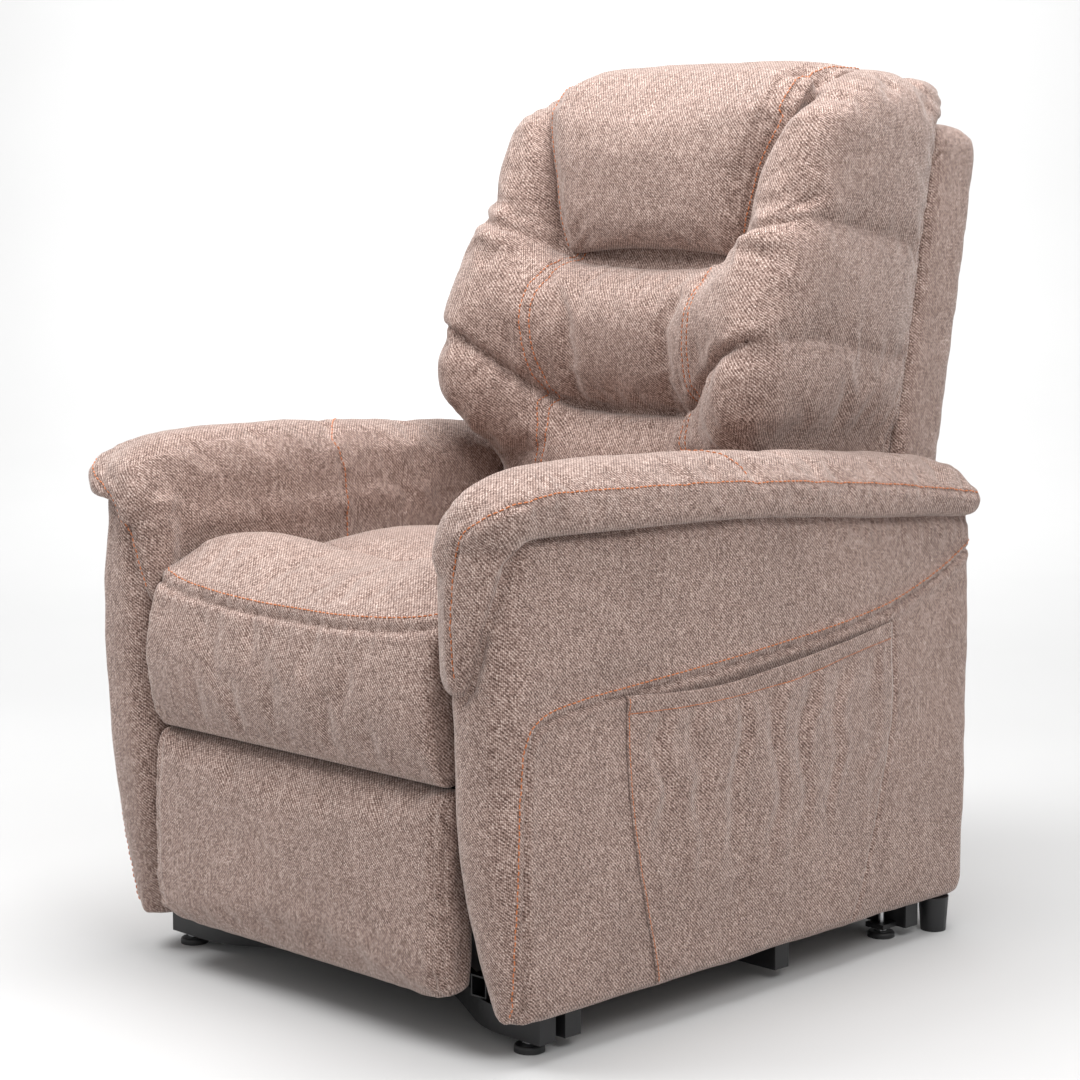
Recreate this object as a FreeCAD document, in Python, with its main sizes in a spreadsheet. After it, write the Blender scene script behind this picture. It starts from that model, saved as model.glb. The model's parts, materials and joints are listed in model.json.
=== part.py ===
import FreeCAD, Part
import math
import os
import re
import Sketcher

# Lift recliner chair, in millimetres. +Z is up, the chair faces -Y and +X is the sitter's left.
# The origin is on the floor, below the middle of the chair at rest. The Y sizes below are laid out from a
# point a little in front of it, and middle_y closes that gap.

X_AXIS = FreeCAD.Vector(1, 0, 0)
Y_AXIS = FreeCAD.Vector(0, 1, 0)
Z_AXIS = FreeCAD.Vector(0, 0, 1)

SIZES = {
    # floor frame: rectangular steel tube, standing on four screwed feet
    "tube_width": 25, "tube_height": 30, "tube_wall": 2, "tube_low": 17, "base_half": 326,
    "front_bar_y": -381, "front_bar_bow": 70, "front_bar_middle": 115, "front_bar_shoulder": 238,
    "front_bar_bend": 120,
    "front_tube_y": -341, "front_stub_in": 216, "mid_tube_y": 21, "rear_tube_y": 280,
    "rail_in": 210, "rail_wide": 25, "rail_front": -372, "rail_rear": 305, "rail_tall": 25,
    "foot_x": 300, "foot_front_y": -368.5, "foot_rear_y": 266, "foot_radius": 17.5, "foot_thick": 12,
    "stud_radius": 4, "stud_top": 42, "nut_radius": 8, "nut_low": 13, "cap_depth": 2.5, "foot_lug": 14,
    # lift linkage: one main arm and one stabiliser a side
    "lift_base_y": -250, "lift_base_z": 125, "lift_seat_y": 120, "lift_seat_z": 150,
    "stab_base_y": -290.1, "stab_base_z": 104.5, "stab_seat_y": -42.9, "stab_seat_z": 106.3,
    "plate_thick": 6, "pin_radius": 6, "pin_clear": 0.06, "open_clear": 0.4,
    "bracket_in": 220, "lift_arm_in": 212, "stab_in": 228, "hanger_in": 204, "side_plate_in": 244,
    "side_plate_thick": 5, "arm_end": 20, "stab_end": 12,
    "torsion_radius": 14,
    # linear drives
    "lift_motor_x": -60, "lift_motor_y": 180, "lift_motor_z": 115.6, "lift_crank_y": -225.6,
    "lift_crank_z": 209.9, "crank_gap": 20, "crank_plate": 6, "drive_pin": 5, "drive_gap": 0.05,
    "drive_tube": 14, "drive_rod": 10, "gear_long": 96, "gear_wide": 46, "gear_tall": 62,
    "motor_can": 28, "motor_can_long": 104, "rod_eye": 11, "eye_wide": 18, "eye_slack": 5.8, "eye_end": 16,
    "back_stroke": 78, "bore_end": 130,
    "back_motor_x": 60, "back_motor_y": -232, "back_motor_z": 248, "back_lever": 110,
    # seat chassis
    "seat_half": 262, "chassis_half": 267, "rail_thick": 18, "seat_rail_low": 300, "seat_rail_top": 380,
    "front_rail_y": -418, "rear_rail_y": 222, "cross_rail_low": 318,
    "chassis_tube_y": -265, "chassis_tube_z": 292, "hang_tube_y": 120, "hang_tube_z": 285, "round_tube": 12,
    "spring_wire": 2, "spring_z": 366, "spring_swing": 28,
    # footrest scissor
    "foot_pivot_y": -307, "foot_pivot_z": 273, "scissor_half": 85, "scissor_tilt": 4, "scissor_fold": 8,
    "scissor_turn": 62, "foot_plate_in": 209, "foot_plate_thick": 5, "scissor_thick": 4, "scissor_end": 10,
    "scissor_pin": 4, "outer_link_in": 203, "inner_link_in": 197, "board_lug_in": 191,
    "board_rear": -415, "board_thick": 12, "board_low": 66, "board_top": 268, "board_half": 250,
    "board_corner": 32,
    "footpad_front": -457, "footpad_low": 58, "footpad_top": 280, "footpad_half": 260,
    # backrest
    "back_hinge_y": 290, "back_hinge_z": 320, "back_half": 258, "shell_half": 262, "shell_wall": 12,
    "shell_rear_y": 373.4, "shell_low": 300, "shell_top_y": 519.4, "shell_top": 1030, "shell_deep": 95,
    "post_in": 212, "post_wide": 25, "back_plate_in": 237,
    # arms
    "arm_low": 49, "arm_rear": 376, "arm_outer": 356, "arm_board_in": 306, "arm_board_thick": 18,
    "arm_front_low": -428, "arm_front_mid": -468, "arm_front_top": -474, "arm_mid_z": 445,
    "arm_top": 577, "arm_top_rear": 541, "pad_in": 262.5, "pad_out": 378,
    "pocket_low": 56, "pocket_mouth_front": 385, "pocket_mouth_rear": 418, "pocket_outer": 367,
    "pocket_skin": 2.5,
    "leg_top_radius": 19.5, "leg_low_radius": 16, "leg_x": 328, "leg_y": 339, "leg_low": 2,
    # how far every piece moves forward at the end, so that the origin is below the middle of the chair
    "middle_y": 12.5,
}

doc = FreeCAD.newDocument("lift_recliner_chair")
sheet = doc.addObject("Spreadsheet::Sheet", "Sizes")
for row, (name, number) in enumerate(SIZES.items(), start=1):
    sheet.set("A%d" % row, name)
    sheet.set("B%d" % row, str(number))
    sheet.setAlias("B%d" % row, name)
doc.recompute()

nodes = []


def formula(text):
    """A formula over cell names, written the way an expression wants them."""
    return re.sub(r"[a-z]+(?:_[a-z]+)+", lambda word: cell(word.group()), str(text))


def cell(name):
    if name not in SIZES:
        raise KeyError(name)
    return "Sizes." + name


def bind(thing, **places):
    """Bind properties to formulas: Length="tube_width" or, with __ for a dot, Placement__Base__x."""
    for prop, text in places.items():
        thing.setExpression(prop.replace("__", "."), formula(text))


def keep(thing, name):
    """Make a finished piece one of the model's nodes."""
    thing.Label = name
    nodes.append(thing)
    return thing


def box(name, x, y, z):
    """A block from formula pairs: (low, high) on each axis."""
    block = doc.addObject("Part::Box", name)
    bind(block, Length="(%s) - (%s)" % (x[1], x[0]), Width="(%s) - (%s)" % (y[1], y[0]),
         Height="(%s) - (%s)" % (z[1], z[0]))
    bind(block, Placement__Base__x=x[0], Placement__Base__y=y[0], Placement__Base__z=z[0])
    return block


def cylinder(name, radius, start, length, axis="z"):
    """A round bar of a formula's radius from a start point of three formulas, along x, y or z."""
    bar = doc.addObject("Part::Cylinder", name)
    bind(bar, Radius=radius, Height=length)
    turn = {"x": FreeCAD.Rotation(Y_AXIS, 90), "y": FreeCAD.Rotation(X_AXIS, -90), "z": FreeCAD.Rotation()}
    bar.Placement = FreeCAD.Placement(FreeCAD.Vector(), turn[axis])
    bind(bar, Placement__Base__x=start[0], Placement__Base__y=start[1], Placement__Base__z=start[2])
    return bar


def cut(name, base, tool):
    result = doc.addObject("Part::Cut", name)
    result.Base = base
    result.Tool = tool
    return result


def fuse(name, *pieces):
    result = doc.addObject("Part::MultiFuse", name)
    result.Shapes = list(pieces)
    return result


def group(name, *pieces):
    """Separate solids that share one node."""
    result = doc.addObject("Part::Compound", name)
    result.Links = list(pieces)
    return result


def mirrored(name, piece):
    """The same piece on the sitter's other side."""
    other = doc.addObject("Part::Mirroring", name)
    other.Source = piece
    other.Normal = X_AXIS
    return other


def both_sides(name, piece):
    """Left and right copies as one node."""
    return keep(group(name, piece, mirrored(name + "_right", piece)), name)


def left_and_right(name, piece):
    """Left and right copies as two nodes."""
    keep(piece, name + "_left")
    keep(mirrored(name + "_right", piece), name + "_right")


def rounded(name, piece, radius, wanted):
    """Round the edges that wanted(edge) picks."""
    doc.recompute()
    result = doc.addObject("Part::Fillet", name)
    result.Base = piece
    picked = [i + 1 for i, edge in enumerate(piece.Shape.Edges) if wanted(edge)]
    size = sheet.get(radius) if isinstance(radius, str) else radius
    result.Edges = [(i, size, size) for i in picked]
    return result


def along(axis):
    """Pick the straight edges that run along an axis."""
    def wanted(edge):
        straight = edge.Curve.TypeId == "Part::GeomLine"
        return straight and abs(abs(edge.tangentAt(edge.FirstParameter).dot(axis)) - 1) < 1e-6
    return wanted


def is_circle(edge):
    return edge.Curve.TypeId == "Part::GeomCircle"


def tube(name, x, y, z, axis):
    """A hollow rectangular tube: the bore runs out of both ends along the axis."""
    outer = box(name + "_outer", x, y, z)
    spans = {"x": x, "y": y, "z": z}
    bore = {key: ("(%s) + tube_wall" % low, "(%s) - tube_wall" % high) for key, (low, high) in spans.items()}
    bore[axis] = ("(%s) - 5" % spans[axis][0], "(%s) + 5" % spans[axis][1])
    inner = box(name + "_bore", bore["x"], bore["y"], bore["z"])
    return cut(name, outer, inner)


def round_tube(name, radius, start, length):
    """A hollow round tube across X."""
    outer = cylinder(name + "_outer", radius, start, length, "x")
    bore_start = ("(%s) - 5" % start[0],) + start[1:]
    bore = cylinder(name + "_bore", radius + " - tube_wall", bore_start, "(%s) + 10" % length, "x")
    return cut(name, outer, bore)


def new_body(name, plane, at):
    """An empty PartDesign body with its plane's offset along the plane's normal bound to a formula."""
    body = doc.addObject("PartDesign::Body", name)
    axis = {"YZ_Plane": "x", "XY_Plane": "z"}[plane]
    body.setExpression("Placement.Base." + axis, formula(at))
    return body


def new_sketch(body, plane, name):
    sketch = body.newObject("Sketcher::SketchObject", name)
    origin = next(item for item in body.Origin.OriginFeatures if item.Role == plane)
    sketch.AttachmentSupport = [(origin, "")]
    sketch.MapMode = "FlatFace"
    return sketch


def fix_point(sketch, geometry, end, across, upward):
    """Hold a sketch point at two formulas."""
    for kind, text in (("DistanceX", across), ("DistanceY", upward)):
        number = sketch.addConstraint(Sketcher.Constraint(kind, -1, 1, geometry, end, 1.0))
        sketch.setExpression("Constraints[%d]" % number, formula(text))


def draw_outline(sketch, corners):
    """A closed outline of straight sides, each corner held at its two formulas."""
    count = len(corners)
    for i in range(count):
        turn = 2 * math.pi * i / count
        after = 2 * math.pi * (i + 1) / count
        start = FreeCAD.Vector(100 * math.cos(turn), 100 * math.sin(turn), 0)
        end = FreeCAD.Vector(100 * math.cos(after), 100 * math.sin(after), 0)
        sketch.addGeometry(Part.LineSegment(start, end))
    for i in range(count):
        sketch.addConstraint(Sketcher.Constraint("Coincident", i, 2, (i + 1) % count, 1))
    for i, (across, upward) in enumerate(corners):
        fix_point(sketch, i, 1, across, upward)


def draw_circle(sketch, centre, radius):
    number = sketch.addGeometry(Part.Circle(FreeCAD.Vector(), Z_AXIS, 5))
    fix_point(sketch, number, 3, *centre)
    held = sketch.addConstraint(Sketcher.Constraint("Radius", number, 5.0))
    sketch.setExpression("Constraints[%d]" % held, formula(radius))


def pad(body, sketch, length, name):
    feature = body.newObject("PartDesign::Pad", name)
    feature.Profile = sketch
    feature.setExpression("Length", formula(length))
    sketch.Visibility = False
    return feature


def plate(name, corners, x_at, thick, holes=()):
    """A plate across X: an outline in Y and Z, with round holes of (centre, radius)."""
    body = new_body(name, "YZ_Plane", x_at)
    sketch = new_sketch(body, "YZ_Plane", name + "_outline")
    draw_outline(sketch, corners)
    for centre, radius in holes:
        draw_circle(sketch, centre, radius)
    pad(body, sketch, thick, name + "_pad")
    return body


def bar_link(name, start, end, half_width, x_at, thick, holes=()):
    """A flat link with round ends about two pivots, each a pair of formulas."""
    body = new_body(name, "YZ_Plane", x_at)
    sketch = new_sketch(body, "YZ_Plane", name + "_outline")
    for centre in (start, end):
        draw_circle(sketch, centre, half_width)
    pad(body, sketch, thick, name + "_ends")
    web = new_sketch(body, "YZ_Plane", name + "_web_outline")
    run = "sqrt(((%s) - (%s)) ^ 2 + ((%s) - (%s)) ^ 2)" % (end[0], start[0], end[1], start[1])
    side = ["(%s) * ((%s) - (%s)) / %s" % (half_width, end[axis], start[axis], run) for axis in (0, 1)]
    corners = [("(%s) %s (%s)" % (pivot[0], "-+"[left], side[1]),
                "(%s) %s (%s)" % (pivot[1], "+-"[left], side[0]))
               for pivot, left in ((start, 0), (end, 0), (end, 1), (start, 1))]
    draw_outline(web, corners)
    pad(body, web, thick, name + "_web")
    for number, (centre, radius) in enumerate(holes):
        hole = new_sketch(body, "YZ_Plane", "%s_hole_%d" % (name, number))
        draw_circle(hole, centre, radius)
        pocket = body.newObject("PartDesign::Pocket", "%s_pocket_%d" % (name, number))
        pocket.Profile = hole
        pocket.Type = 1
        pocket.Midplane = True
    return body


# ---------------------------------------------------------------- floor frame (body "base")

def bowed_outline(front, rear, half):
    """The front bar in plan: straight ends and a middle that steps back to leave room for heels."""
    front_edge = [("-(%s)" % half, front), ("-front_bar_shoulder", front),
                  ("-front_bar_middle", "%s + front_bar_bow" % front),
                  ("front_bar_middle", "%s + front_bar_bow" % front), ("front_bar_shoulder", front),
                  (half, front)]
    rear_edge = [(half, rear), ("front_bar_shoulder", rear),
                 ("front_bar_middle", "%s + front_bar_bow" % rear),
                 ("-front_bar_middle", "%s + front_bar_bow" % rear), ("-front_bar_shoulder", rear),
                 ("-(%s)" % half, rear)]
    return front_edge + rear_edge


def bowed_bar(name, front, rear, half, low, tall):
    body = new_body(name, "XY_Plane", low)
    sketch = new_sketch(body, "XY_Plane", name + "_plan")
    draw_outline(sketch, bowed_outline(front, rear, half))
    pad(body, sketch, tall, name + "_pad")
    limit = sheet.get("front_bar_shoulder") + 1

    def at_a_bend(edge):
        return along(Z_AXIS)(edge) and abs(edge.Vertexes[0].Point.x) < limit
    return rounded(name + "_bent", body, "front_bar_bend", at_a_bend)


def foot_places():
    """The four feet: name, x formula, y formula."""
    for side_name, side in (("left", "foot_x"), ("right", "-foot_x")):
        for end_name, end in (("front", "foot_front_y"), ("rear", "foot_rear_y")):
            yield end_name + "_" + side_name, side, end


def stud_holes(wanted):
    """Clearance bores for the foot studs of one end of the frame."""
    bores = [cylinder("bore_" + place, "stud_radius", (x, y, "tube_low - 2"), "stud_top - tube_low + 4")
             for place, x, y in foot_places() if place.startswith(wanted)]
    return fuse("stud_bores_" + wanted, *bores)


front_skin = bowed_bar("front_bar_skin", "front_bar_y", "front_bar_y + tube_width", "base_half", "tube_low",
                       "tube_height")
front_hollow = bowed_bar("front_bar_hollow", "front_bar_y + tube_wall",
                         "front_bar_y + tube_width - tube_wall", "base_half + 5", "tube_low + tube_wall",
                         "tube_height - 2 * tube_wall")
front_tube = cut("front_bar_tube", front_skin, front_hollow)
keep(cut("front_bar", front_tube, stud_holes("front")), "base_front_bar")

full_width = ("-base_half", "base_half")
tube_level = ("tube_low", "tube_low + tube_height")
both_sides("base_front_stubs", tube("front_stub", ("front_stub_in", "base_half"),
                                    ("front_tube_y", "front_tube_y + tube_width"), tube_level, "x"))
keep(tube("cross_tube_mid", full_width, ("mid_tube_y", "mid_tube_y + tube_width"), tube_level, "x"),
     "base_cross_tube_mid")
rear_tube = tube("cross_tube_rear", full_width, ("rear_tube_y", "rear_tube_y + tube_width"), tube_level,
                 "x")
rear_lugs = [box("foot_lug_" + side_name, ("%sfoot_x - foot_lug" % sign, "%sfoot_x + foot_lug" % sign),
                 ("foot_rear_y - foot_lug", "rear_tube_y"), ("tube_low", "tube_low + plate_thick"))
             for side_name, sign in (("left", ""), ("right", "-"))]
rear_with_lugs = fuse("rear_tube_with_lugs", rear_tube, *rear_lugs)
keep(cut("rear_tube_bored", rear_with_lugs, stud_holes("rear")), "base_cross_tube_rear")

rail_level = ("tube_low + tube_height", "tube_low + tube_height + rail_tall")
both_sides("base_side_rails", tube("side_rail", ("rail_in", "rail_in + rail_wide"),
                                   ("rail_front", "rail_rear"), rail_level, "y"))
motor_tube_y = ("lift_motor_y - tube_width / 2", "lift_motor_y + tube_width / 2")
keep(tube("motor_tube", ("-rail_in", "rail_in"), motor_tube_y, rail_level, "x"), "motor_cross_tube")

pads = []
studs = []
for place, x, y in foot_places():
    disc = cylinder("foot_disc_" + place, "foot_radius", (x, y, "0"), "foot_thick")
    pads.append(rounded("foot_pad_" + place, disc, 3.5, is_circle))
    shaft = cylinder("stud_shaft_" + place, "stud_radius", (x, y, "foot_thick"), "stud_top - foot_thick")
    nut = doc.addObject("Part::Prism", "stud_nut_" + place)
    nut.Polygon = 6
    bind(nut, Circumradius="nut_radius", Height="tube_low - nut_low", Placement__Base__x=x,
         Placement__Base__y=y, Placement__Base__z="nut_low")
    studs.append(fuse("foot_stud_" + place, shaft, nut))
keep(group("pads", *pads), "levelling_foot_pads")
keep(group("studs", *studs), "levelling_foot_studs")

caps = []
for place in ("front_bar", "front_tube", "mid_tube", "rear_tube"):
    cap = box("cap_" + place, ("base_half", "base_half + cap_depth"),
              (place + "_y", place + "_y + tube_width"), tube_level)
    caps += [cap, mirrored("cap_right_" + place, cap)]
keep(group("caps", *caps), "tube_end_caps")

lift_base = ("lift_base_y", "lift_base_z")
stab_base = ("stab_base_y", "stab_base_z")
rail_top = "tube_low + tube_height + rail_tall"
bracket_corners = [("lift_base_y - 74", rail_top), ("stab_base_y - 18", "stab_base_z"),
                   ("stab_base_y - 8", "stab_base_z + 16"), ("lift_base_y - 12", "lift_base_z + 20"),
                   ("lift_base_y + 12", "lift_base_z + 20"), ("lift_base_y + 22", "lift_base_z"),
                   ("lift_base_y + 36", rail_top)]
both_sides("lift_brackets", plate("lift_bracket", bracket_corners, "bracket_in", "plate_thick",
                                  [(lift_base, "pin_radius"), (stab_base, "pin_radius")]))


def pivot_pin(name, centre, start, end):
    """A plain pin across X between two formulas."""
    return cylinder(name, "pin_radius", (start, centre[0], centre[1]), "(%s) - (%s)" % (end, start), "x")


def with_mirrored(pieces):
    """The pieces and their copies on the sitter's other side."""
    return pieces + [mirrored(piece.Name + "_right", piece) for piece in pieces]


base_pins = [pivot_pin("lift_pin", lift_base, "lift_arm_in + 0.2", "bracket_in + plate_thick + 1"),
             pivot_pin("stab_pin", stab_base, "bracket_in - 1", "stab_in + plate_thick + 1")]
keep(group("pins_base", *with_mirrored(base_pins)), "base_pivot_pins")


def drive_ears(name, at_x, corners, pin_centre):
    """A fork of two ears about a linear drive's eye, with its pin."""
    inner = "(eye_wide / 2 + 1)"
    left_ear = plate(name + "_ear_left", corners, "%s + %s" % (at_x, inner), "crank_plate")
    right_ear = plate(name + "_ear_right", corners, "%s - %s - crank_plate" % (at_x, inner), "crank_plate")
    pin = cylinder(name + "_pin", "drive_pin", ("%s - %s - crank_plate" % (at_x, inner),) + pin_centre,
                   "eye_wide + 2 + 2 * crank_plate", "x")
    return [left_ear, right_ear, pin]


motor_seat = [("lift_motor_y - 12", rail_top), ("lift_motor_y + 12", rail_top),
              ("lift_motor_y + 12", "lift_motor_z + 8"), ("lift_motor_y + 6", "lift_motor_z + 13"),
              ("lift_motor_y - 6", "lift_motor_z + 13"), ("lift_motor_y - 12", "lift_motor_z + 8")]
clevis = drive_ears("lift_clevis", "lift_motor_x", motor_seat, ("lift_motor_y", "lift_motor_z"))
keep(fuse("lift_clevis", *clevis), "lift_motor_clevis")

# ---------------------------------------------------------------- lift linkage

lift_seat = ("lift_seat_y", "lift_seat_z")
stab_seat = ("stab_seat_y", "stab_seat_z")
running = "pin_radius + pin_clear"
left_and_right("lift_arm", bar_link("lift_arm", lift_base, lift_seat, "arm_end", "lift_arm_in",
                                    "plate_thick", [(lift_base, running), (lift_seat, running)]))
keep(round_tube("torsion", "torsion_radius", ("-lift_arm_in",) + lift_base, "2 * lift_arm_in"),
     "lift_torsion_tube")

crank_end = ("lift_crank_y", "lift_crank_z")
crank_plates = [bar_link("crank_" + side, lift_base, crank_end, "eye_end", "lift_motor_x " + place,
                         "crank_plate", [(lift_base, "torsion_radius")])
                for side, place in (("left", "+ crank_gap / 2"), ("right", "- crank_gap / 2 - crank_plate"))]
crank_pin = cylinder("crank_pin", "drive_pin", ("lift_motor_x - crank_gap / 2 - crank_plate",) + crank_end,
                     "crank_gap + 2 * crank_plate", "x")
keep(fuse("crank", *crank_plates, crank_pin), "lift_crank")
both_sides("stabiliser_links", bar_link("stabiliser_link", stab_base, stab_seat, "stab_end", "stab_in",
                                        "plate_thick",
                                        [(stab_base, running), (stab_seat, "pin_radius + open_clear")]))


def linear_drive(name, at_x, start, end, can_side, retract):
    """A linear drive from its rear eye to its rod's eye, laid along -Y and then turned into place."""
    run = "sqrt(((%s) - (%s)) ^ 2 + ((%s) - (%s)) ^ 2)" % (end[0], start[0], end[1], start[1])
    half_wide = "gear_wide / 2"

    def eye(label, along_y, radius, hole):
        ring = cylinder(label + "_ring", radius, ("-eye_wide / 2", along_y, "0"), "eye_wide", "x")
        bore = cylinder(label + "_bore", hole, ("-eye_wide", along_y, "0"), "2 * eye_wide", "x")
        return ring, bore

    ring, bore = eye(name + "_rear_eye", "0", "rod_eye", "drive_pin + drive_gap")
    neck = box(name + "_neck", ("-eye_wide / 2", "eye_wide / 2"), ("-eye_end", "0"), ("-8", "8"))
    case = box(name + "_gear_case", ("-" + half_wide, half_wide), ("-eye_end - gear_long", "-eye_end"),
               ("-gear_tall / 2", "gear_tall / 2"))
    gears = rounded(name + "_gears", case, 7, along(Y_AXIS))
    can_start = half_wide + " - 4" if can_side > 0 else "-%s + 4 - motor_can_long" % half_wide
    can_bar = cylinder(name + "_can_bar", "motor_can", (can_start, "-eye_end - gear_long / 2", "0"),
                       "motor_can_long", "x")
    can = rounded(name + "_can", can_bar, 6, is_circle)
    guide_gap = "(eye_end + 8 + %s)" % retract
    guide = cylinder(name + "_guide", "drive_tube", ("0", "-(%s) + %s" % (run, guide_gap), "0"),
                     "(%s) - %s - eye_end - 4" % (run, guide_gap), "y")
    guide_bore = cylinder(name + "_guide_bore", "drive_rod + drive_gap", ("0", "-(%s)" % run, "0"),
                          "(%s) - bore_end" % run, "y")
    solid = fuse(name + "_solid", ring, neck, gears, can, guide)
    body = cut(name + "_body", cut(name + "_bored", solid, guide_bore), bore)

    tip, tip_bore = eye(name + "_rod_eye", "-(%s)" % run, "eye_end", "drive_pin + eye_slack")
    rod = cylinder(name + "_rod_bar", "drive_rod", ("0", "-(%s) + eye_end - 2" % run, "0"),
                   "(%s) - eye_end + 2 - bore_end - 10 - %s" % (run, retract), "y")
    rod_body = cut(name + "_rod_body", fuse(name + "_rod_solid", tip, rod), tip_bore)

    turn = "atan2((%s) - (%s); (%s) - (%s))" % (start[1], end[1], start[0], end[0])
    for piece in (body, rod_body):
        piece.Placement = FreeCAD.Placement(FreeCAD.Vector(), FreeCAD.Rotation(X_AXIS, 30))
        bind(piece, Placement__Rotation__Angle=turn, Placement__Base__x=at_x, Placement__Base__y=start[0],
             Placement__Base__z=start[1])
    keep(body, name)
    keep(rod_body, name + "_rod")


linear_drive("lift_motor", "lift_motor_x", ("lift_motor_y", "lift_motor_z"), crank_end, -1, "0")

# ---------------------------------------------------------------- seat chassis

hinge = ("back_hinge_y", "back_hinge_z")
side_corners = [("chassis_tube_y - 22", "chassis_tube_z + 16"),
                ("chassis_tube_y - 22", "chassis_tube_z - 18"),
                ("stab_seat_y - 62", "stab_seat_z + 142"), ("stab_seat_y - 18", "stab_seat_z - 14"),
                ("stab_seat_y + 18", "stab_seat_z - 14"), ("stab_seat_y + 62", "stab_seat_z + 142"),
                ("back_hinge_y - 28", "back_hinge_z - 62"), ("back_hinge_y + 24", "back_hinge_z - 20"),
                ("back_hinge_y + 24", "back_hinge_z + 22"), ("back_hinge_y - 24", "back_hinge_z + 22"),
                ("back_hinge_y - 52", "chassis_tube_z + 38"), ("chassis_tube_y + 30", "chassis_tube_z + 38")]
left_and_right("side_plate", plate("side_plate", side_corners, "side_plate_in", "side_plate_thick",
                                   [(hinge, "pin_radius"), (stab_seat, "pin_radius")]))

chassis_tube = ("chassis_tube_y", "chassis_tube_z")
hang_tube = ("hang_tube_y", "hang_tube_z")
for name, centre in (("chassis_front_tube", chassis_tube), ("chassis_mid_tube", hang_tube)):
    keep(round_tube(name, "round_tube", ("-side_plate_in",) + centre, "2 * side_plate_in"), name)
both_sides("lift_hangers", bar_link("lift_hanger", hang_tube, lift_seat, "arm_end", "hanger_in",
                                    "plate_thick", [(hang_tube, "round_tube"), (lift_seat, "pin_radius")]))

chassis_pins = [pivot_pin("seat_pin", lift_seat, "hanger_in - 1", "lift_arm_in + plate_thick + 1"),
                pivot_pin("stab_seat_pin", stab_seat, "stab_in - 1", "side_plate_in + side_plate_thick + 1"),
                pivot_pin("back_pin", hinge, "back_plate_in - 1.5", "side_plate_in + side_plate_thick + 0.5")]
keep(group("pins_chassis", *with_mirrored(chassis_pins)), "chassis_pivot_pins")


def scissor_point(along_axis, below_axis):
    """A point of the footrest scissor: so far along its line of travel, and so far square below it."""
    return ("foot_pivot_y - (%s) * cos(scissor_tilt) - (%s) * sin(scissor_tilt)" % (along_axis, below_axis),
            "foot_pivot_z + (%s) * sin(scissor_tilt) - (%s) * cos(scissor_tilt)" % (along_axis, below_axis))


scissor_step = "2 * scissor_half * sin(scissor_fold)"
scissor_drop = "2 * scissor_half * cos(scissor_fold)"
slot_high = "2 * scissor_half * cos(scissor_fold + scissor_turn)"
pivot_first = scissor_point("0", "0")
pivot_cross = scissor_point(scissor_step + " / 2", scissor_drop + " / 2")
pivot_low = scissor_point(scissor_step, scissor_drop)
pivot_high = scissor_point(scissor_step, "0")
pivot_slot = scissor_point("0", scissor_drop)
pivot_second_cross = scissor_point("1.5 * " + scissor_step, scissor_drop + " / 2")
pivot_board = scissor_point("2 * " + scissor_step, "0")
scissor_hole = "scissor_pin + pin_clear"

foot_plate_corners = [("chassis_tube_y + 18", "chassis_tube_z + 16"),
                      ("chassis_tube_y - 30", "chassis_tube_z + 16"),
                      scissor_point("16", "-14"), scissor_point("13", "14"),
                      scissor_point("13", scissor_drop + " + 14"),
                      scissor_point("-13", scissor_drop + " + 14"),
                      scissor_point("-15", "36"), ("chassis_tube_y + 18", "chassis_tube_z - 16")]
foot_plate = plate("foot_plate", foot_plate_corners, "foot_plate_in", "foot_plate_thick",
                   [(chassis_tube, "round_tube")])
slot_cut = bar_link("slot_cut", scissor_point("0", slot_high + " - 1"),
                    scissor_point("0", scissor_drop + " + 1"), "scissor_pin + 0.3",
                    "foot_plate_in - 5", "foot_plate_thick + 10")
foot_stub = cylinder("foot_stub", "scissor_pin", ("outer_link_in - 1",) + pivot_first,
                     "foot_plate_in - outer_link_in + 3", "x")
foot_plate_slotted = cut("foot_plate_slotted", foot_plate, slot_cut)
both_sides("footrest_plates", fuse("foot_plate_solid", foot_plate_slotted, foot_stub))

seat_rail_y = ("front_rail_y + 18", "rear_rail_y + 28")
seat_rail_z = ("seat_rail_low", "seat_rail_top")
both_sides("seat_side_rails", box("seat_side_rail", ("chassis_half - rail_thick", "chassis_half"),
                                  seat_rail_y, seat_rail_z))
for name, rail_y in (("seat_front_rail", "front_rail_y"), ("seat_rear_rail", "rear_rail_y")):
    keep(box(name, ("-side_plate_in", "side_plate_in"), (rail_y, rail_y + " + rail_thick"),
             ("cross_rail_low", "seat_rail_top")), name)


def sinuous_spring(name, at_x):
    """A flat zigzag spring of round wire between the front and rear seat rails."""
    start = sheet.get("front_rail_y") + sheet.get("rail_thick") + sheet.get("spring_wire")
    swing = sheet.get("spring_swing")
    turns = 26
    pitch = (sheet.get("rear_rail_y") - sheet.get("spring_wire") - start) / turns
    level = sheet.get("spring_z")
    edges = []
    for turn in range(turns):
        side = 1 if turn % 2 else -1
        low = start + turn * pitch
        flank = at_x + side * (swing - pitch / 2)
        crest = FreeCAD.Vector(at_x + side * swing, low + pitch / 2, level)
        near = FreeCAD.Vector(flank, low, level)
        far = FreeCAD.Vector(flank, low + pitch, level)
        if turn == 0:
            edges.append(Part.LineSegment(FreeCAD.Vector(at_x, low, level), near).toShape())
        edges.append(Part.Arc(near, crest, far).toShape())
        reach = at_x if turn == turns - 1 else at_x - side * (swing - pitch / 2)
        edges.append(Part.LineSegment(far, FreeCAD.Vector(reach, low + pitch, level)).toShape())
    path = Part.Wire(edges)
    ring = Part.Wire(Part.makeCircle(sheet.get("spring_wire"), edges[0].Vertexes[0].Point, X_AXIS))
    spring = doc.addObject("Part::Feature", name)
    spring.Shape = path.makePipeShell([ring], True, False)
    return spring


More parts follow.
